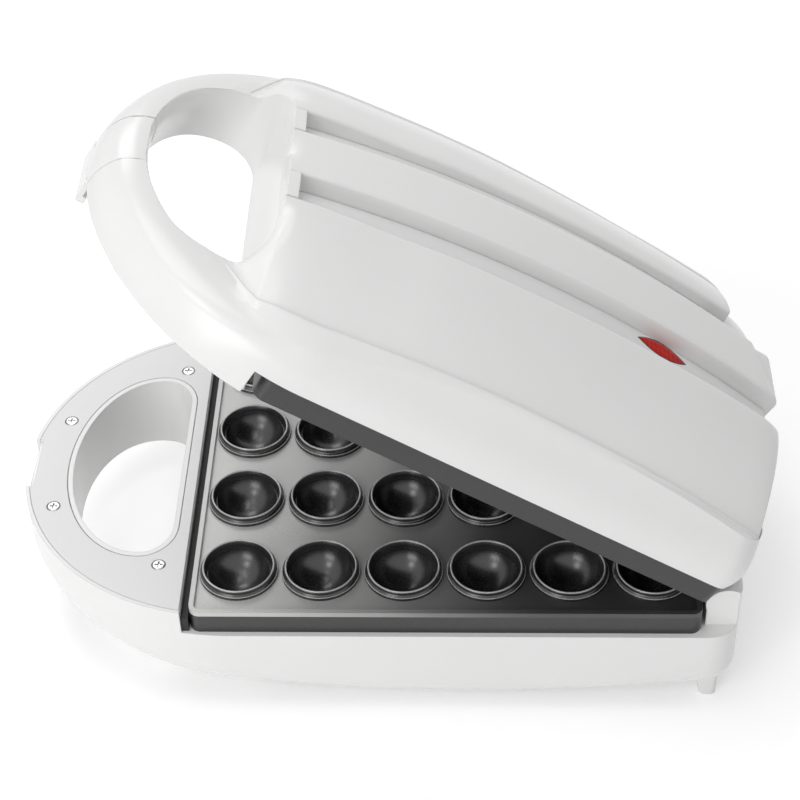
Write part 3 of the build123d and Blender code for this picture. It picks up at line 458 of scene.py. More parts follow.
class Piece:
    """A mesh under way: corners in millimetres in the drawing frame, and faces by corner number."""

    def __init__(self, corners: Array, faces: list[Any]) -> None:
        """Keep the corners and faces."""
        self.corners = corners
        self.faces = faces

    @staticmethod
    def tube(grid: Array, capped: bool = True) -> "Piece":
        """Skin over a grid of points: row after row, each a ring of the same number of points.

        Args:
            grid: points as rows, columns, xyz; the last column joins the first.
            capped: whether the first and last rows are filled.

        Returns:
            The piece, with quads between the rows.
        """
        rows, columns, _ = grid.shape
        number = np.arange(rows * columns).reshape(rows, columns)
        after = np.roll(number, -1, axis=1)
        quads = np.stack([number[:-1], after[:-1], after[1:], number[1:]], axis=-1).reshape(-1, 4)
        faces: list[Any] = quads.tolist()
        if capped:
            faces += [number[0][::-1].tolist(), number[-1].tolist()]
        return Piece(grid.reshape(-1, 3), faces)

    @staticmethod
    def prism(outline: Array, low: Array, high: Array) -> "Piece":
        """Closed prism of a flat outline, as rows of xyz, carried from one offset to another."""
        return Piece.tube(np.stack([outline + low, outline + high]))

    @staticmethod
    def bar(outline: Any, low: float, high: float) -> "Piece":
        """Outline given as y and z, carried along X from low to high."""
        flat = np.column_stack([np.zeros(len(outline)), np.array(outline, float)])
        return Piece.prism(flat, np.array((low, 0.0, 0.0)), np.array((high, 0.0, 0.0)))

    @staticmethod
    def block(x: tuple[float, float], y: tuple[float, float], z: tuple[float, float]) -> "Piece":
        """Block between two corners."""
        outline = np.array([(x[0], y[0], 0.0), (x[1], y[0], 0.0), (x[1], y[1], 0.0), (x[0], y[1], 0.0)])
        return Piece.prism(outline, np.array((0, 0, z[0])), np.array((0, 0, z[1])))

    def joined(self, others: list["Piece"]) -> "Piece":
        """This piece and others as one mesh, with nothing cut."""
        corners, faces = [self.corners], list(self.faces)
        start = len(self.corners)
        for other in others:
            corners.append(other.corners)
            faces += [[number + start for number in face] for face in other.faces]
            start += len(other.corners)
        return Piece(np.concatenate(corners), faces)


class Opened:
    """Turns millimetres of the shut machine into metres of the frame, with the lid at its rest angle."""

    shift = 25.83
    hinge_y = 127.0
    hinge_z = 65.0
    angle = radians(32.5)

    @classmethod
    def base(cls, points: Array) -> Array:
        """Points of the base: moved along Y only."""
        return (points + np.array((0.0, cls.shift, 0.0))) * MM

    @classmethod
    def lid(cls, points: Array) -> Array:
        """Points of the lid, whose height counts from the parting plane, turned back about the hinge."""
        x, y, z = points.T
        ahead = y - cls.hinge_y
        return np.stack([
            x,
            cls.hinge_y + ahead * cos(cls.angle) + z * sin(cls.angle) + cls.shift,
            cls.hinge_z - ahead * sin(cls.angle) + z * cos(cls.angle),
        ], axis=1) * MM


def linked(name: str, data: bpy.types.ID) -> bpy.types.Object:
    """New object of some data, in the scene."""
    made = bpy.data.objects.new(name, data)
    bpy.context.scene.collection.objects.link(made)
    return made


def worked(mesh: bpy.types.Mesh, *steps: Callable[[bmesh.types.BMesh], Any]) -> None:
    """Edit a mesh with some steps, each a call on its bmesh."""
    form = bmesh.new()
    form.from_mesh(mesh)
    for step in steps:
        step(form)
    form.to_mesh(mesh)
    form.free()


class Workshop:
    """Makes objects of pieces, cuts them and hands them to the frame."""

    def __init__(self, paints: Paintbox) -> None:
        """Keep the paints."""
        self.paints = paints

    def raw(self, name: str, piece: Piece, place: Callable[[Array], Array]) -> bpy.types.Object:
        """Mesh object of a piece, with its normals turned outward.

        Args:
            name: the object's name.
            piece: its corners and faces.
            place: turns its millimetres into the frame's metres.

        Returns:
            The object.
        """
        mesh = bpy.data.meshes.new(name)
        mesh.from_pydata(place(piece.corners).tolist(), [], piece.faces)
        worked(mesh, lambda form: bmesh.ops.remove_doubles(form, verts=form.verts, dist=1e-6),
               lambda form: bmesh.ops.recalc_face_normals(form, faces=form.faces))
        return linked(name, mesh)

    def carve(self, target: bpy.types.Object, shape: Any, how: str = "DIFFERENCE") -> None:
        """Cut, join or intersect a piece of the lid with a tool: a piece, or an object, which is used up."""
        tool = self.raw("tool", shape, Opened.lid) if isinstance(shape, Piece) else shape
        cut = target.modifiers.new("carve", "BOOLEAN")
        cut.solver = "MANIFOLD"
        cut.operation = how
        cut.object = tool
        graph = bpy.context.evaluated_depsgraph_get()
        mesh = bpy.data.meshes.new_from_object(target.evaluated_get(graph))
        old, worn = target.data, tool.data
        target.modifiers.clear()
        target.data = mesh
        mesh.name = target.name
        bpy.data.objects.remove(tool)
        bpy.data.meshes.remove(old)
        bpy.data.meshes.remove(worn)

    def finish(self, piece: bpy.types.Object, finish: Finish, body: str,
               stands_for: tuple[str, ...] = (), slot: str = "", crease: float = 32.0) -> None:
        """Smooth a piece, paint it and give it to a body.

        Args:
            piece: the object.
            finish: its finish.
            body: the body that it rides on.
            stands_for: the nodes that it replaces.
            slot: not used.
            crease: angle in degrees past which an edge stays sharp.
        """
        worked(piece.data, lambda form: bmesh.ops.dissolve_degenerate(form, dist=1e-6, edges=form.edges))
        piece.data.shade_smooth()
        piece.data.set_sharp_from_angle(angle=radians(crease))
        self.paints.dress(piece, finish)
        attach(piece, body)
        if stands_for:
            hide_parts(*stands_for)
        log.info("built %s: %d faces", piece.name, len(piece.data.polygons))

    def add(self, name: str, piece: Piece, body: str, finish: Finish, **given: Any) -> None:
        """Build a piece of the base or the lid and finish it, with what else finish is given."""
        place = Opened.base if body == "base" else Opened.lid
        self.finish(self.raw(name, piece, place), finish, body, **given)

    def polished(self, node: str, body: str, finish: Finish, sunk: Place = (0.0, 0.0, 0.0)) -> None:
        """Smooth-shaded merged copy of a node, which stands for it.

        Args:
            node: the node.
            body: the body that it rides on.
            finish: its finish.
            sunk: how far the copy sits from the node, in metres.
        """
        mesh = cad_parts[node].data.copy()
        mesh.name = f"{node}_smooth"
        if "custom_normal" in mesh.attributes:
            mesh.attributes.remove(mesh.attributes["custom_normal"])
        worked(mesh, lambda form: bmesh.ops.remove_doubles(form, verts=form.verts, dist=2e-6),
               lambda form: bmesh.ops.translate(form, vec=sunk, verts=form.verts))
        self.finish(linked(mesh.name, mesh), finish, body, (node,))


# ---- lid
@dataclass(frozen=True)
class LidForm:
    """Outer form of the lid, in millimetres over the parting plane while the lid is shut.

    It is drawn in by inset, and each coarse step is divided into fine parts.
    """

    inset: float = 0.0
    fine: int = 3
    nose_steps: int = 40
    straight_steps: int = 44
    corner_steps: int = 6
    skirt_steps: int = 8
    flank_steps: int = 7
    lip_steps: int = 4
    half_width: Table = (
        (0, 100), (8, 100), (16, 99.6), (22, 98.9), (26, 97.6), (30, 95.8), (37, 91), (46, 85.6), (56, 80))
    nose_reach: Table = (
        (0, 104), (8, 103.4), (16, 100.5), (22, 95.5), (26, 86), (30, 66), (37, 55), (46, 41), (56, 30))
    rear: Table = (
        (0, 123), (8, 123), (16, 123), (22, 122.8), (26, 122.2), (30, 121.4), (37, 120), (46, 118.4),
        (56, 117.2))
    crease: Table = (
        (-165, 28.5), (-150, 29.2), (-139, 31.4), (-124, 35.8), (-107, 37.8), (-89, 39.8), (-60, 42.6),
        (-24, 44.6), (26, 44.3), (60, 42.7), (90, 39.9), (126, 35.6))
    crease_fall: Table = (
        (-165, 0), (-146.5, 0), (-139, 1.5), (-128, 4), (-116, 6), (-100, 5), (-60, 2), (-20, 1), (20, 1),
        (60, 0.6), (90, 0.2), (126, 0))
    edge: Table = (
        (-146.5, 48.5), (-131, 53), (-112, 56), (-82, 59), (-55, 62.2), (-5, 64.5), (30, 64.7), (70, 63.4),
        (94, 61.6), (118, 58.8), (126, 57.4))
    nose_centre: float = -100.0
    rear_corner: float = 15.0
    dome_start: float = -146.5
    dome_half: float = 84.0
    dome_reach: float = 104.0
    dome_nose: Table = ((-146.5, 62), (-139, 72.5), (-133, 79.66))
    foot_nose: Table = ((-146.5, 21), (-139, 29), (-133, 33.2))
    bead_out: tuple[float, ...] = (2.2, 1.7, 1.2, 0.6)
    bead_up: tuple[float, ...] = (-0.5, 0.15, 0.4, 0.3)
    flank_bow: float = 1.6
    groove_outer: float = 32.0
    groove_inner: float = 15.5
    groove_depth: float = 11.0
    groove_front: float = -128.0
    groove_slant: float = 0.05
    groove_corner: float = 0.6
    plug_shares: tuple[float, ...] = (0.02, 0.08, 0.92, 0.98)
    middle_shares: tuple[float, ...] = (0.7, 0.35, 0.0)
    crown_height: float = 70.0
    crown_radius: float = 640.0
    crown_y: float = 12.0
    short_rail_end: float = 98.0
    short_rail_step: float = 8.5
    short_rail_lead: float = 3.5
    hinge_y: float = 127.0
    rim_round: float = 1.4
    rear_round: float = 3.0
    front_round: float = 7.0
    front_steep: float = 0.88
    front_level: float = 50.0
    front_run: float = 4.0
    groove_slack: float = 0.02
    room_extra: float = 9.0
    hole_middle: float = -143.0
    hole_half: float = 60.0
    hole_back: float = 15.0
    hole_reach: float = 41.0
    hole_corner: float = 17.0
    hole_lean: float = 8.5
    hole_flare: float = 8.0
    flare_start: float = 13.0
    flare_end: float = 27.0

    def crown(self, y: Array) -> Array:
        """Height of the middle panel: the top of a large circle along Y."""
        rise = np.sqrt(self.crown_radius ** 2 - (y - self.crown_y) ** 2)
        return self.crown_height - self.crown_radius + rise

    def foot_width(self, y: Array) -> Array:
        """Half width of the dome's foot: straight, then half an ellipse towards the nose."""
        ahead = np.clip((self.nose_centre - y) / self.dome_reach, 0.0, 0.99)
        plain = self.dome_half * np.sqrt(1.0 - ahead ** 2)
        return np.where(y < self.dome_nose[-1][0], smooth(self.dome_nose, y), plain)

    def outline(self, turn: Array, middle: Array, end: Array, z: Array) -> tuple[Array, Array]:
        """Half width and place along Y of the lid's side at some heights.

        The nose is half an ellipse: half width side * cos(turn), reach * sin(turn) ahead of its centre.
        Behind it the side runs straight, and the rear corner is a quarter circle of angle end.

        Args:
            turn: angle along the nose, from a quarter turn at the tip to 0.
            middle: share of the straight part that is passed, from 0 to 1.
            end: angle along the rear corner, from 0 to a quarter turn.
            z: heights.

        Returns:
            Half widths and places along Y.
        """
        side = smooth(self.half_width, z) - self.inset
        reach = smooth(self.nose_reach, z) - self.inset
        corner = self.rear_corner - self.inset
        back = smooth(self.rear, z) - self.inset - corner
        y = self.nose_centre - reach * np.sin(turn) + (back - self.nose_centre) * middle
        return side * np.cos(turn) - corner * (1.0 - np.cos(end)), y + corner * np.sin(end)

    def solid(self) -> Piece:
        """Closed solid of the lid, as cross-sections from the nose's tip to the rear wall.

        Each section runs up the side, in over the crease's shelf, over the flank
        z = edge - (edge - foot) * share ** bow, where share runs from 0 at the groove to 1 at the foot,
        down into the groove, over the panel, and down again the same way on the other side.

        Returns:
            The solid.
        """
        inset, fine = self.inset, self.fine
        nose, straight, corner = self.nose_steps * fine, self.straight_steps * fine, self.corner_steps * fine
        turn = np.concatenate([np.linspace(pi / 2, 0.0, nose), np.zeros(straight + corner)])
        along = np.linspace(0.0, 1.0, straight + 1)[1:]
        middle = np.concatenate([np.zeros(nose), along, np.ones(corner)])
        end = np.concatenate([np.zeros(nose + straight), np.linspace(0.0, pi / 2, corner + 1)[1:]])
        shelf = np.full(len(turn), self.crease[0][1] - inset)
        for _ in range(5):
            half, y = self.outline(turn, middle, end, shelf)
            shelf = smooth(self.crease, y) - smooth(self.crease_fall, y) - inset
        levels = np.linspace(0.0, 1.0, self.skirt_steps * fine)
        z = levels[None, :] * shelf[:, None]
        grown = [np.repeat(v[:, None], z.shape[1], axis=1) for v in (turn, middle, end)]
        side_x, side_y = self.outline(*grown, z)
        skirt = np.stack([side_x, side_y, z], axis=2)
        top_right = self.top(half, y, shelf, end, 0.0)
        top_left = self.top(half, y, shelf, end, self.short_rail_step)
        mirror = np.array((-1.0, 1.0, 1.0))
        left = [(part * mirror)[:, ::-1] for part in (top_left, skirt)]
        return Piece.tube(np.concatenate([skirt, top_right, *left], axis=1))

    def across(self) -> Array:
        """Places along X from the groove's outer lip, over its floor and inner lip, to the middle."""
        outer, inner, lip = self.groove_outer + self.inset, self.groove_inner - self.inset, self.rim_round
        slant, soft = self.groove_slant, self.groove_corner
        arc = np.linspace(0.0, pi / 2, self.lip_steps)
        return np.concatenate([
            outer + lip * (1.0 - np.sin(arc[1:])), (outer - slant, outer - soft, inner + soft, inner + slant),
            inner - lip * (1.0 - np.sin(arc[::-1])), (inner - lip) * np.array(self.middle_shares)])

    def heights(self, y: Array, rim: Array) -> Array:
        """Heights of the columns that across places; ahead of groove_front the groove is filled.

        Args:
            y: place of each section.
            rim: height of the groove's outer rim there.

        Returns:
            Heights as sections, columns.
        """
        lip, slant, soft = self.rim_round, self.groove_slant, self.groove_corner
        arc = np.linspace(0.0, pi / 2, self.lip_steps)
        crown = self.crown(y) - self.inset
        floor = crown - self.groove_depth - (self.room_extra if self.inset > 0 else 0.0)
        low = np.minimum(floor, rim - lip - 2.0 * slant)
        made = [rim - lip * (1.0 - cos(a)) for a in arc[1:]]
        made += [np.minimum(floor + soft, rim - lip - slant), low, floor, floor + soft]
        made += [crown - lip * (1.0 - cos(a)) for a in arc[::-1]] + [crown] * len(self.middle_shares)
        z = np.stack(made, axis=1)
        filled = (y < self.groove_front) & (self.inset == 0)
        plug = rim[:, None] + (crown - rim)[:, None] * np.array(self.plug_shares)
        groove = slice(len(arc) - 1, len(arc) - 1 + len(self.plug_shares))
        z[:, groove] = np.where(filled[:, None], plug, z[:, groove])
        return z

    def top(self, half: Array, y: Array, shelf: Array, end: Array, drop: float) -> Array:
        """Half of the top, from the crease's shelf in to the middle.

        Args:
            half: half width of the skirt's top edge at each section.
            y: place of each section.
            shelf: height of the shelf.
            end: angle along the rear corner, which also rounds the rear edge.
            drop: how far the flank is lowered behind the short rail's end.

        Returns:
            Points as sections, columns, xyz.
        """
        inset, outer, lip = self.inset, self.groove_outer + self.inset, self.rim_round
        share = np.linspace(1.0, 0.0, self.flank_steps * self.fine)
        lowered = np.where(y > self.short_rail_end - self.short_rail_lead * inset, drop, 0.0)
        foot_x = np.minimum(self.foot_width(y) - inset, half)
        crease = np.maximum(smooth(self.crease, y) - inset, shelf)
        foot = np.where(y < self.foot_nose[-1][0], smooth(self.foot_nose, y) - inset, crease)
        rim = smooth(self.edge, y) - inset
        flank_x = outer + lip + (foot_x - outer - lip)[:, None] * share
        flank_z = (rim[:, None] - (rim - foot)[:, None] * share ** self.flank_bow) - lowered[:, None]
        bead_x = np.minimum(foot_x[:, None] + np.array(self.bead_out), half[:, None])
        bead_z = crease[:, None] + np.array(self.bead_up) * (inset == 0)
        x = np.concatenate([bead_x, flank_x, np.repeat(self.across()[None, :], len(y), axis=0)], axis=1)
        z = np.concatenate([bead_z, flank_z, self.heights(y, rim - lowered)], axis=1)
        z = np.maximum(z, np.where(np.arange(z.shape[1]) < len(share), crease[:, None] - 0.3, 0.0))
        first = int(np.argmax(y > self.dome_start))
        domed = (y > self.dome_start)[:, None]
        spread = foot_x[:, None] * x[first] / x[first, len(self.bead_out)]
        x = np.where(domed, x, np.minimum(spread, half[:, None]))
        z = np.where(domed, z, shelf[:, None])
        points = np.stack([x, np.repeat(y[:, None], x.shape[1], axis=1), z], axis=2)
        rear_fall = self.rear_round * (1.0 - np.cos(end))
        points[:, :, 2] -= self.front_fall(points, shelf) + rear_fall[:, None]
        return points

    def hole(self, z: float, count: int = 24) -> Array:
        """Outline of the handle opening at a height.

        Half an ellipse ahead; behind, two quarter ellipses joined by a straight line. The front reach grows
        by flare * (1 - sqrt(1 - t * t)), where t runs from 0 to 1 over the flare's height, and the back
        leans forward with height.

        Args:
            z: height.
            count: points along each quarter.

        Returns:
            Points as rows of xyz.
        """
        t = min(max((z - self.flare_start) / (self.flare_end - self.flare_start), 0.0), 1.0)
        reach = self.hole_reach + self.hole_flare * (1.0 - (1.0 - t * t) ** 0.5)
        rise = self.hole_back - self.hole_lean * max(z, 0.0) / self.crown_height
        side, corner = self.hole_half, self.hole_corner
        ahead = np.linspace(pi, 2.0 * pi, 2 * count, endpoint=False)
        right = np.linspace(0.0, pi / 2, count)
        back_x, back_y = side - corner + corner * np.cos(right), rise * np.sin(right)
        x = np.concatenate([side * np.cos(ahead), back_x, -back_x[::-1]])
        y = np.concatenate([reach * np.sin(ahead), back_y, back_y[::-1]])
        return np.stack([x, y + self.hole_middle, np.full(len(x), z)], axis=1)[:-1]

    def front_fall(self, points: Array, shelf: Array) -> Array:
        """How far the dome's front falls towards the opening: a quarter circle of radius front_round.

        Args:
            points: points of the top, as sections, columns, xyz.
            shelf: height of the shelf at each section.

        Returns:
            The fall of each point.
        """
        rim = self.hole(self.front_level, 40)[:, :2]
        step = np.roll(rim, -1, axis=0) - rim
        dense = np.concatenate([rim + step * s for s in (0.0, 0.25, 0.5, 0.75)])
        near = points[:, None, :, :2] - dense[None, :, None, :]
        gap = np.sqrt((near ** 2).sum(axis=3)).min(axis=1)
        wide, deep = np.abs(points[:, :, 0]), points[:, :, 1] - self.hole_middle
        round_x = np.clip(wide - self.hole_half + self.hole_corner, 0.0, None) / self.hole_corner
        rise = self.hole_back - self.hole_lean * self.front_level / self.crown_height
        within = np.where(deep > 0, round_x ** 2 + (deep / rise) ** 2, (wide / self.hole_half) ** 2) < 1.0
        inside = self.front_round - np.where(within, -gap, gap)
        limit = self.front_round * self.front_steep
        arc = self.front_round - np.sqrt(self.front_round ** 2 - np.clip(inside, 0.0, limit) ** 2)
        slope = self.front_steep / sqrt(1.0 - self.front_steep ** 2)
        fall = arc + slope * np.clip(inside - limit, 0.0, self.front_run)
        share = np.clip((points[:, :, 2] - shelf[:, None]) / self.front_round, 0.0, 1.0)
        kept = np.abs(points[:, :, 0]) - self.groove_inner
        slack = self.groove_slack
        in_groove = (kept > slack) & (kept < self.groove_outer - self.groove_inner - slack)
        in_groove &= points[:, :, 1] > self.groove_front
        return np.where((self.inset > 0) | in_groove, 0.0, fall * share)

    def opening(self) -> Piece:
        """Tool that cuts the handle opening."""
        steps = np.concatenate([(-10.0, 0.0), np.linspace(self.flare_start, self.flare_end, 12),
                                np.linspace(30.0, 90.0, 6)])
        return Piece.tube(np.stack([self.hole(float(z)) for z in steps]))


@dataclass
class Lid:
    """The lid's shell: its form, hollowed, with the opening, the plate's room and the hinge lugs."""

    form: LidForm = LidForm()
    wall: float = 2.5
    band: float = 13.0
    band_front: float = -121.3
    closing: float = 0.4
    under: float = -20.0
    room: Table = ((-99.0, 99.0), (-117.3, 150.0), (16.0, 100.0))
    rear_wall: Table = ((-18.0, 18.0), (96.0, 150.0))
    mouth: tuple[float, float] = (94.4, 112.9)
    mouth_step: tuple[float, float] = (8.0, 17.0)
    relief: Table = ((134, -1), (113.5, -1), (113.5, 0), (123.5, 9), (134, 9))
    slant_half: float = 15.6
    slant_front: tuple[float, float] = (119.5, 105.0)
    slant_back: float = 140.0
    slant_level: float = 59.7
    slant_top: float = 90.0
    lug_inner: float = 52.0
    lug_width: float = 14.0
    lug_radius: float = 6.5
    latch_side: tuple[float, float] = (-15.9, 15.9)
    latch_room: Table = ((-210.0, -176.0), (6.0, 60.0))
    latch_front: Table = ((-210.0, -200.2), (-5.0, 60.0))
    deep_front: float = 66.0
    deep: float = 9.0
    deep_rear: float = 119.0
    deep_top: float = 68.0
    far: float = 260.0

    def tools(self) -> list[Piece]:
        """Everything that is cut out of the solid form."""
        far, band = self.far, self.band
        relief = np.array(self.relief) + (0.0, band)
        side, (near, ahead), back = self.slant_half, self.slant_front, self.slant_back
        slant = np.array([(side, near, 0.0), (side, back, 0.0), (-side, back, 0.0), (-side, ahead, 0.0)])
        return [
            self.form.opening(),
            Piece.block((-far, far), (self.band_front, far), (self.under, band)),
            Piece.block((-far, far), (-far, far), (self.under, self.closing)),
            Piece.bar(relief, -far, far),
            Piece.prism(slant, np.array((0, 0, self.slant_level)), np.array((0, 0, self.slant_top))),
            Piece.block((-self.mouth[0], self.mouth[0]), (-self.mouth[1], self.mouth[1]), self.mouth_step),
            Piece.block(self.latch_side, *self.latch_room),
            Piece.block(self.latch_side, *self.latch_front),
            *self.deep_ends(),
        ]

    def deep_ends(self) -> list[Piece]:
        """Tools that deepen both grooves behind the trim strips."""
        y = np.linspace(self.deep_front, self.deep_rear, 12)
        floor = self.form.crown(y) - self.form.groove_depth - self.deep
        high = self.deep_top
        outline = [*zip(y, floor), (self.deep_rear, high), (self.deep_front, high)]
        slant = self.form.groove_slant
        inner, outer = self.form.groove_inner + slant, self.form.groove_outer - slant
        return [Piece.bar(outline, low, up) for low, up in ((inner, outer), (-outer, -inner))]

    def lugs(self) -> list[Piece]:
        """Both hinge lugs: a web from the rear wall to a round eye, widened along X."""
        top, reach, radius = self.band, self.form.hinge_y, self.lug_radius
        turn = np.linspace(0.0, -pi, 20)
        eye = np.stack([reach + radius * np.cos(turn), radius * np.sin(turn)], axis=1)
        wall = reach - radius
        web = np.array([(wall, top), (wall - 6.0, top + 4.0), (wall - 6.0, top + 18.0),
                        (wall + 1.0, top + 16.0), (reach + radius * 0.5, radius)])
        outline = np.concatenate([eye, web])
        return [Piece.bar(outline, low, low + self.lug_width)
                for low in (self.lug_inner, -self.lug_inner - self.lug_width)]

    def build(self, shop: Workshop) -> None:
        """Make the shell and put it in the housing's place."""
        shell = shop.raw("lid_shell", self.form.solid(), Opened.lid)
        hollow = replace(self.form, inset=self.wall, fine=1)
        room = shop.raw("room", hollow.solid(), Opened.lid)
        shop.carve(room, Piece.block(*self.room), "INTERSECT")
        shop.carve(room, Piece.block(*self.rear_wall, (self.slant_level - self.wall, self.room[2][1])))
        shop.carve(shell, room)
        for tool in self.tools():
            shop.carve(shell, tool)
        for lug in self.lugs():
            shop.carve(shell, lug, "UNION")
        shop.finish(shell, Finish.WHITE, "lid", ("lid_housing",))


# ---- base
@dataclass
class Cups:
    """The lower plate's cups: turned bowls with stepped collars, and two fine ribs on each near wall."""

    rows: tuple[float, ...] = (-70.35, -23.45, 23.45, 70.35)
    columns: tuple[float, ...] = (-95.0, -57.0, -19.0, 19.0, 57.0, 95.0)
    mouth: float = 15.5
    rim: float = 67.0
    floor: float = 63.0
    depth: float = 14.0
    wall: float = 1.5
    lip_back: float = 0.75
    throat: float = 14.4
    collar: Table = ((-0.12, 2.6), (0, 2.3), (0.25, 2), (0.75, 1.75), (1, 1.4), (1.1, 0.5), (1.2, 0))
    round_count: int = 48
    rib_side: float = 6.0
    rib_width: float = 0.8
    rib_proud: float = 0.75
    rib_reach: float = 0.72
    # section radius of the pale ring of painted highlight on each rim
    bright: float = 0.42
    # block of painted shade: dark rubber filling the gap between plate and handle panel
    shade_strip_x: tuple[float, float] = (-97.0, 97.0)
    shade_strip_y: tuple[float, float] = (-119.5, -116.35)
    shade_strip_z: tuple[float, float] = (52.05, 60.0)

    def ball(self) -> tuple[float, float]:
        """Radius of the bowl's ball and the height of its centre: (mouth^2 + depth^2) / (2 * depth)."""
        radius = (self.mouth ** 2 + self.depth ** 2) / (2.0 * self.depth)
        return radius, self.rim - self.depth + radius

    def profile(self) -> Array:
        """Radius and height from the bowl's floor, up the ball, over the rim and down the stepped collar."""
        radius, centre = self.ball()
        turn = np.linspace(0.02, np.arcsin((self.mouth - 0.15) / radius), 22)
        bowl = np.stack([radius * np.sin(turn), centre - radius * np.cos(turn)], axis=1)
        seat = self.mouth + self.wall
        lip = np.linspace(pi, 0.0, 9)
        rim = np.stack([seat - self.lip_back + 0.6 * np.cos(lip),
                        self.rim - 0.55 + 0.55 * np.sin(lip)], axis=1)
        collar = np.array(self.collar) + (seat, self.floor)
        outer = radius + self.wall
        under = np.linspace(np.arcsin(self.throat / outer), 0.02, 12)
        skin = np.stack([outer * np.sin(under), centre - outer * np.cos(under)], axis=1)
        return np.concatenate([bowl, rim, collar, [(self.throat, self.floor)], skin])

    def turned(self, profile: Array) -> Piece:
        """Profile turned about the vertical axis: (r * cos a, r * sin a, z)."""
        angle = np.linspace(0.0, 2.0 * pi, self.round_count, endpoint=False)
        grid = np.stack([profile[:, :1] * np.cos(angle), profile[:, :1] * np.sin(angle),
                         np.repeat(profile[:, 1:], self.round_count, axis=1)], axis=2)
        return Piece.tube(grid)

    def spread(self, piece: Piece) -> Piece:
        """The piece at every place of the grid."""
        copies = [Piece(piece.corners + np.array((x, y, 0.0)), piece.faces)
                  for x in self.rows for y in self.columns]
        return copies[0].joined(copies[1:])

    def rib(self, side: float) -> Piece:
        """Fine upright rib on the near wall: a blade that follows the ball, thickest halfway down.

        Args:
            side: its place along Y from the cup's axis.

        Returns:
            The rib of the cup at the origin.
        """
        radius, centre = self.ball()
        z = np.linspace(self.rim - 1.0, self.rim - self.depth * self.rib_reach, 14)
        wall = np.sqrt(np.clip(radius ** 2 - (z - centre) ** 2 - side ** 2, 0.0, None))
        proud = self.rib_proud * np.sin(np.linspace(0.12, 1.0, len(z)) * pi * 0.93)
        half, sunk, top = self.rib_width / 2.0, wall + 0.5, wall - proud
        loop = [(sunk, side - half), (top, side - half * 0.4), (top, side + half * 0.4), (sunk, side + half)]
        grid = np.stack([np.stack([x, np.full(len(z), y), z], axis=1) for x, y in loop], axis=1)
        return Piece.tube(grid)

    def build(self, shop: Workshop) -> None:
        """Make the cups, their rims and ribs painted pale as painted highlights, and the dark strip of
        painted shade between plate and handle panel.
        """
        cups = self.spread(self.turned(self.profile()))
        shop.add("cups", cups, "base", Finish.CUP, stands_for=("lower_cups",), crease=40.0)
        # painted highlight: pale rings on the rims and collar ledges, and pale ribs on the near walls
        rim_highlight = self.highlight_ring(self.mouth + self.wall - self.lip_back, self.rim - 0.12, self.bright)
        ledge = self.highlight_ring(self.mouth + self.wall + 0.95, self.floor + 1.55, self.bright * 0.5)
        rims = rim_highlight.joined([ledge, self.rib(self.rib_side), self.rib(-self.rib_side)])
        shop.add("cup_rims_painted_highlight", self.spread(rims), "base", Finish.RIM_PAINTED_HIGHLIGHT, slot="non_stick_plate", crease=50.0)
        # painted shade: a dark block in the gap between plate and handle panel, where there is only shade
        shade_strip = Piece.block(self.shade_strip_x, self.shade_strip_y, self.shade_strip_z)
        shop.add("plate_gap_painted_shade", shade_strip, "base", Finish.GASKET, slot="non_stick_plate")

    def highlight_ring(self, radius: float, height: float, thick: float) -> Piece:
        """Ring with a round section, painted pale as a painted highlight.

        Args:
            radius: from the cup's axis to the section's middle.
            height: of the section's middle.
            thick: radius of the section.

        Returns:
            The ring of the cup at the origin.
        """
        turn = np.linspace(0.0, 2.0 * pi, 8, endpoint=False)
        angle = np.linspace(0.0, 2.0 * pi, self.round_count, endpoint=False)[:, None]
        out = radius + thick * np.cos(turn)[None, :]
        high = np.repeat((height + thick * np.sin(turn))[None, :], self.round_count, axis=0)
        grid = np.stack([out * np.cos(angle), out * np.sin(angle), high], axis=2)
        return Piece.tube(np.concatenate([grid, grid[:1]]), capped=False)


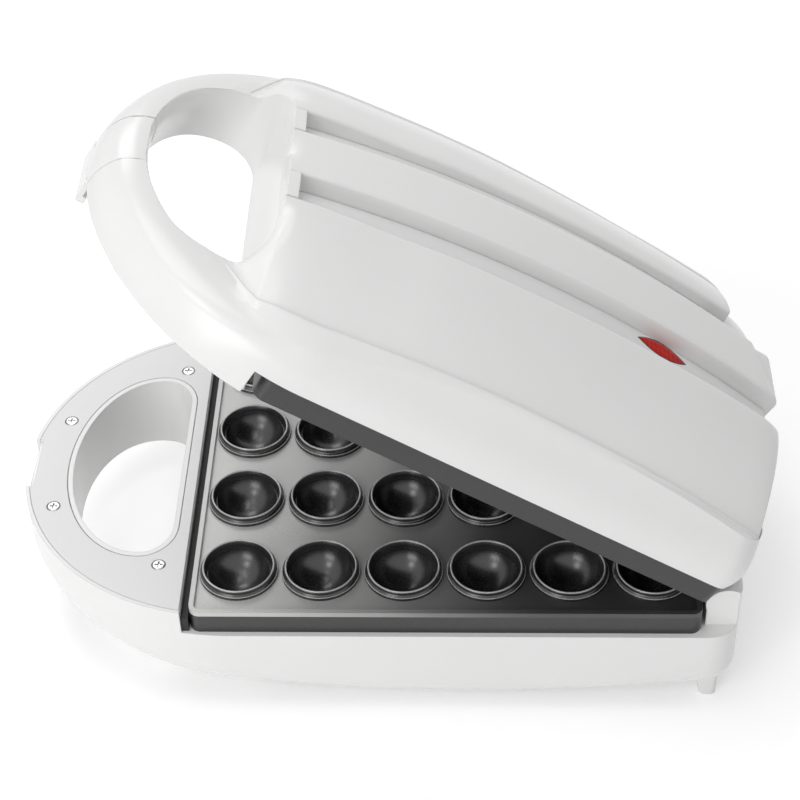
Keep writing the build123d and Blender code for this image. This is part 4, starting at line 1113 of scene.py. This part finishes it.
@dataclass
class Window:
    """Indicator window: a slim pointed oval, domed, in a fine dark border, and the strip around it."""

    form: LidForm = LidForm()
    middle: tuple[float, float] = (20.9, 53.5)
    half_length: float = 13.4
    half_width: float = 4.6
    border: float = 0.35
    trim_ends: tuple[float, float] = (-127.3, 117.0)
    trim_sides: tuple[float, float] = (15.8, 31.7)
    trim_rear_side: float = 23.0
    trim_thick: float = 1.8
    trim_round: float = 0.35
    taper_start: float = 62.0
    seat: float = 9.2
    proud: float = 1.0

    def cushion(self, grow: float, low: float, proud: float) -> Piece:
        """Domed oval: height seat + proud * (1 - across ** 2) * (1 - along ** 2) over its outline.

        The outline is a parabola to each point: half_width * (1 - along ** 2).

        Args:
            grow: how far its outline stands outside the window's.
            low: how far it goes down below the seat.
            proud: how far its middle stands up.

        Returns:
            The closed form.
        """
        along = np.sin(np.linspace(-pi / 2, pi / 2, 41))
        across = np.linspace(-1.0, 1.0, 15)
        half = (self.half_width + grow) * (1.0 - along ** 2)
        x = self.middle[0] + half[:, None] * across
        y = self.middle[1] + (self.half_length + grow * 1.6) * np.repeat(along[:, None], len(across), axis=1)
        seat = self.form.crown(y) - self.seat
        z = seat + proud * (1.0 - across ** 2) * (1.0 - along[:, None] ** 2) + 0.15
        over = np.stack([x, y, z], axis=2)
        under = np.stack([x, y, seat - low], axis=2)[:, ::-1]
        return Piece.tube(np.concatenate([over, under], axis=1))

    def trim(self) -> Piece:
        """Strip in the window's groove: its outer edge draws in towards the rear in a straight line."""
        y = np.linspace(self.trim_ends[0], self.trim_ends[1], 90)
        drawn = np.clip((y - self.taper_start) / (self.trim_ends[1] - self.taper_start), 0.0, 1.0)
        outer = self.trim_sides[1] - (self.trim_sides[1] - self.trim_rear_side) * drawn
        inner = np.full(len(y), self.trim_sides[0])
        high = self.form.crown(y) - self.seat
        low = high - self.trim_thick
        bend = self.trim_round
        ring = [(inner, low), (outer, low), (outer, high - bend), (outer - bend, high),
                (inner + bend, high), (inner, high - bend)]
        return Piece.tube(np.stack([np.stack([x, y, z], axis=1) for x, z in ring], axis=1))

    def build(self, shop: Workshop) -> None:
        """Make the strip, the border and the window."""
        border, glass = self.cushion(self.border, 0.9, 0.25), self.cushion(0.0, 1.6, self.proud)
        shop.add("window_border", border, "lid", Finish.GASKET, slot="red_lens")
        shop.add("right_trim", self.trim(), "lid", Finish.SATIN, stands_for=("right_groove_trim",))
        shop.add("window", glass, "lid", Finish.LENS, stands_for=("indicator_lens",))


# ---- studio
@dataclass
class Studio:
    """Pale floor, soft lamps and the photograph's camera; each row of lamps is what _lamp takes."""

    camera_place: Place = (0.69538, 0.033023, 0.73195)
    forward: Place = (-0.74299, -0.03061, -0.66860)
    roll: float = -0.02704
    lens: float = 89.24
    floor_half: float = 3.0
    floor_lift: float = 0.30
    ambient: float = 0.42
    lamps: tuple[tuple[str, Place, Place, float, float], ...] = (
        ("top_softbox", (0.0, -0.15, 1.5), (0.0, 0.0, 0.1), 1.0, 6.2),
        ("side_softbox", (1.35, -0.75, 0.38), (0.0, 0.0, 0.1), 0.8, 7.4),
        ("near_softbox", (0.95, -0.66, 1.12), (0.0, 0.0, 0.1), 0.4, 2.2),
        ("sheen_softbox", (-0.95, -0.42, 1.0), (0.0, -0.05, 0.06), 0.5, 2.6),
    )

    def build(self) -> None:
        """Make the camera, floor, world and lamps."""
        self._camera()
        self._floor()
        self._world()
        for lamp in self.lamps:
            self._lamp(*lamp)
        bpy.context.scene.view_settings.view_transform = "Standard"

    def _camera(self) -> None:
        """Camera at the photograph's viewpoint."""
        data = bpy.data.cameras.new("photo_camera")
        data.lens = self.lens
        data.sensor_width = 36.0
        camera = linked("photo_camera", data)
        camera.location = self.camera_place
        camera.rotation_mode = "QUATERNION"
        level = Vector(self.forward).to_track_quat("-Z", "Y")
        camera.rotation_quaternion = level @ Quaternion((0.0, 0.0, 1.0), self.roll)
        bpy.context.scene.camera = camera

    def _seen(self, w: Wiring) -> Value:
        """One for rays that show the background to the camera or in metal and glass, otherwise nought."""
        ray = w.node("ShaderNodeLightPath")
        seen = Value(w, ray.outputs["Is Camera Ray"]) + Value(w, ray.outputs["Is Glossy Ray"])
        return (seen + Value(w, ray.outputs["Is Transmission Ray"])).clamped()

    def _floor(self) -> None:
        """Large pale floor that keeps the shadow and looks white to the camera."""
        half = self.floor_half
        mesh = bpy.data.meshes.new("studio_floor")
        corners = [(-half, -half, 0.0), (half, -half, 0.0), (half, half, 0.0), (-half, half, 0.0)]
        mesh.from_pydata(corners, [], [(0, 1, 2, 3)])
        floor = linked("studio_floor", mesh)
        w = Wiring("studio_floor")
        grain = w.noise(40.0, 2.0)
        mesh.materials.append(w.surface(
            Base_Color=(0.93, 0.93, 0.93),
            Roughness=(0.8 + grain * 0.1).clamped(),
            Specular_IOR_Level=0.1,
            Emission_Color=w.blend(self._seen(w), (0.0, 0.0, 0.0), (self.floor_lift,) * 3),
            Emission_Strength=1.0,
        ))

    def _world(self) -> None:
        """Soft white surroundings: plain light on the object, white to the camera."""
        world = bpy.data.worlds.new("studio_world")
        world.use_nodes = True
        w = Wiring("studio_world", world)
        glow = self._seen(w) * (1.0 - self.ambient) + self.ambient
        background = w.node("ShaderNodeBackground", {}, {"Color": (1.0, 1.0, 1.0), "Strength": glow})
        w.node("ShaderNodeOutputWorld", {}, {"Surface": background.outputs[0]})
        bpy.context.scene.world = world

    def _lamp(self, name: str, place: Place, aim: Place, size: float, power: float) -> None:
        """One square area lamp.

        Args:
            name: the lamp's name.
            place: where it hangs.
            aim: the point that it faces.
            size: its side in metres.
            power: its power in watts.
        """
        data = bpy.data.lights.new(name, "AREA")
        data.shape = "SQUARE"
        data.size = size
        data.energy = power
        lamp = linked(name, data)
        lamp.location = place
        lamp.rotation_mode = "QUATERNION"
        lamp.rotation_quaternion = (Vector(aim) - Vector(place)).to_track_quat("-Z", "Y")


def main() -> None:
    """Dress the frame and build the pieces in order."""
    logging.basicConfig(level=logging.INFO, format="%(name)s: %(message)s")
    paints = Paintbox()
    for name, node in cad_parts.items():
        paints.dress(node, NODE_FINISH[name])
        log.info("dressed %s", name)
    shop = Workshop(paints)
    Lid().build(shop)
    Cups().build(shop)
    Window().build(shop)
    shop.polished("base_housing", "base", Finish.WHITE)
    shop.polished("latch_clip", "latch", Finish.WHITE)
    shop.polished("upper_formers", "lid", Finish.CUP)
    lid_up = (0.0, SUNK * sin(Opened.angle), SUNK * cos(Opened.angle))
    shop.polished("handle_panel_screws", "base", Finish.STEEL, (0.0, 0.0, -SUNK))
    shop.polished("lid_handle_screws", "lid", Finish.STEEL, lid_up)
    Studio().build()


if __name__ == "__main__":
    main()
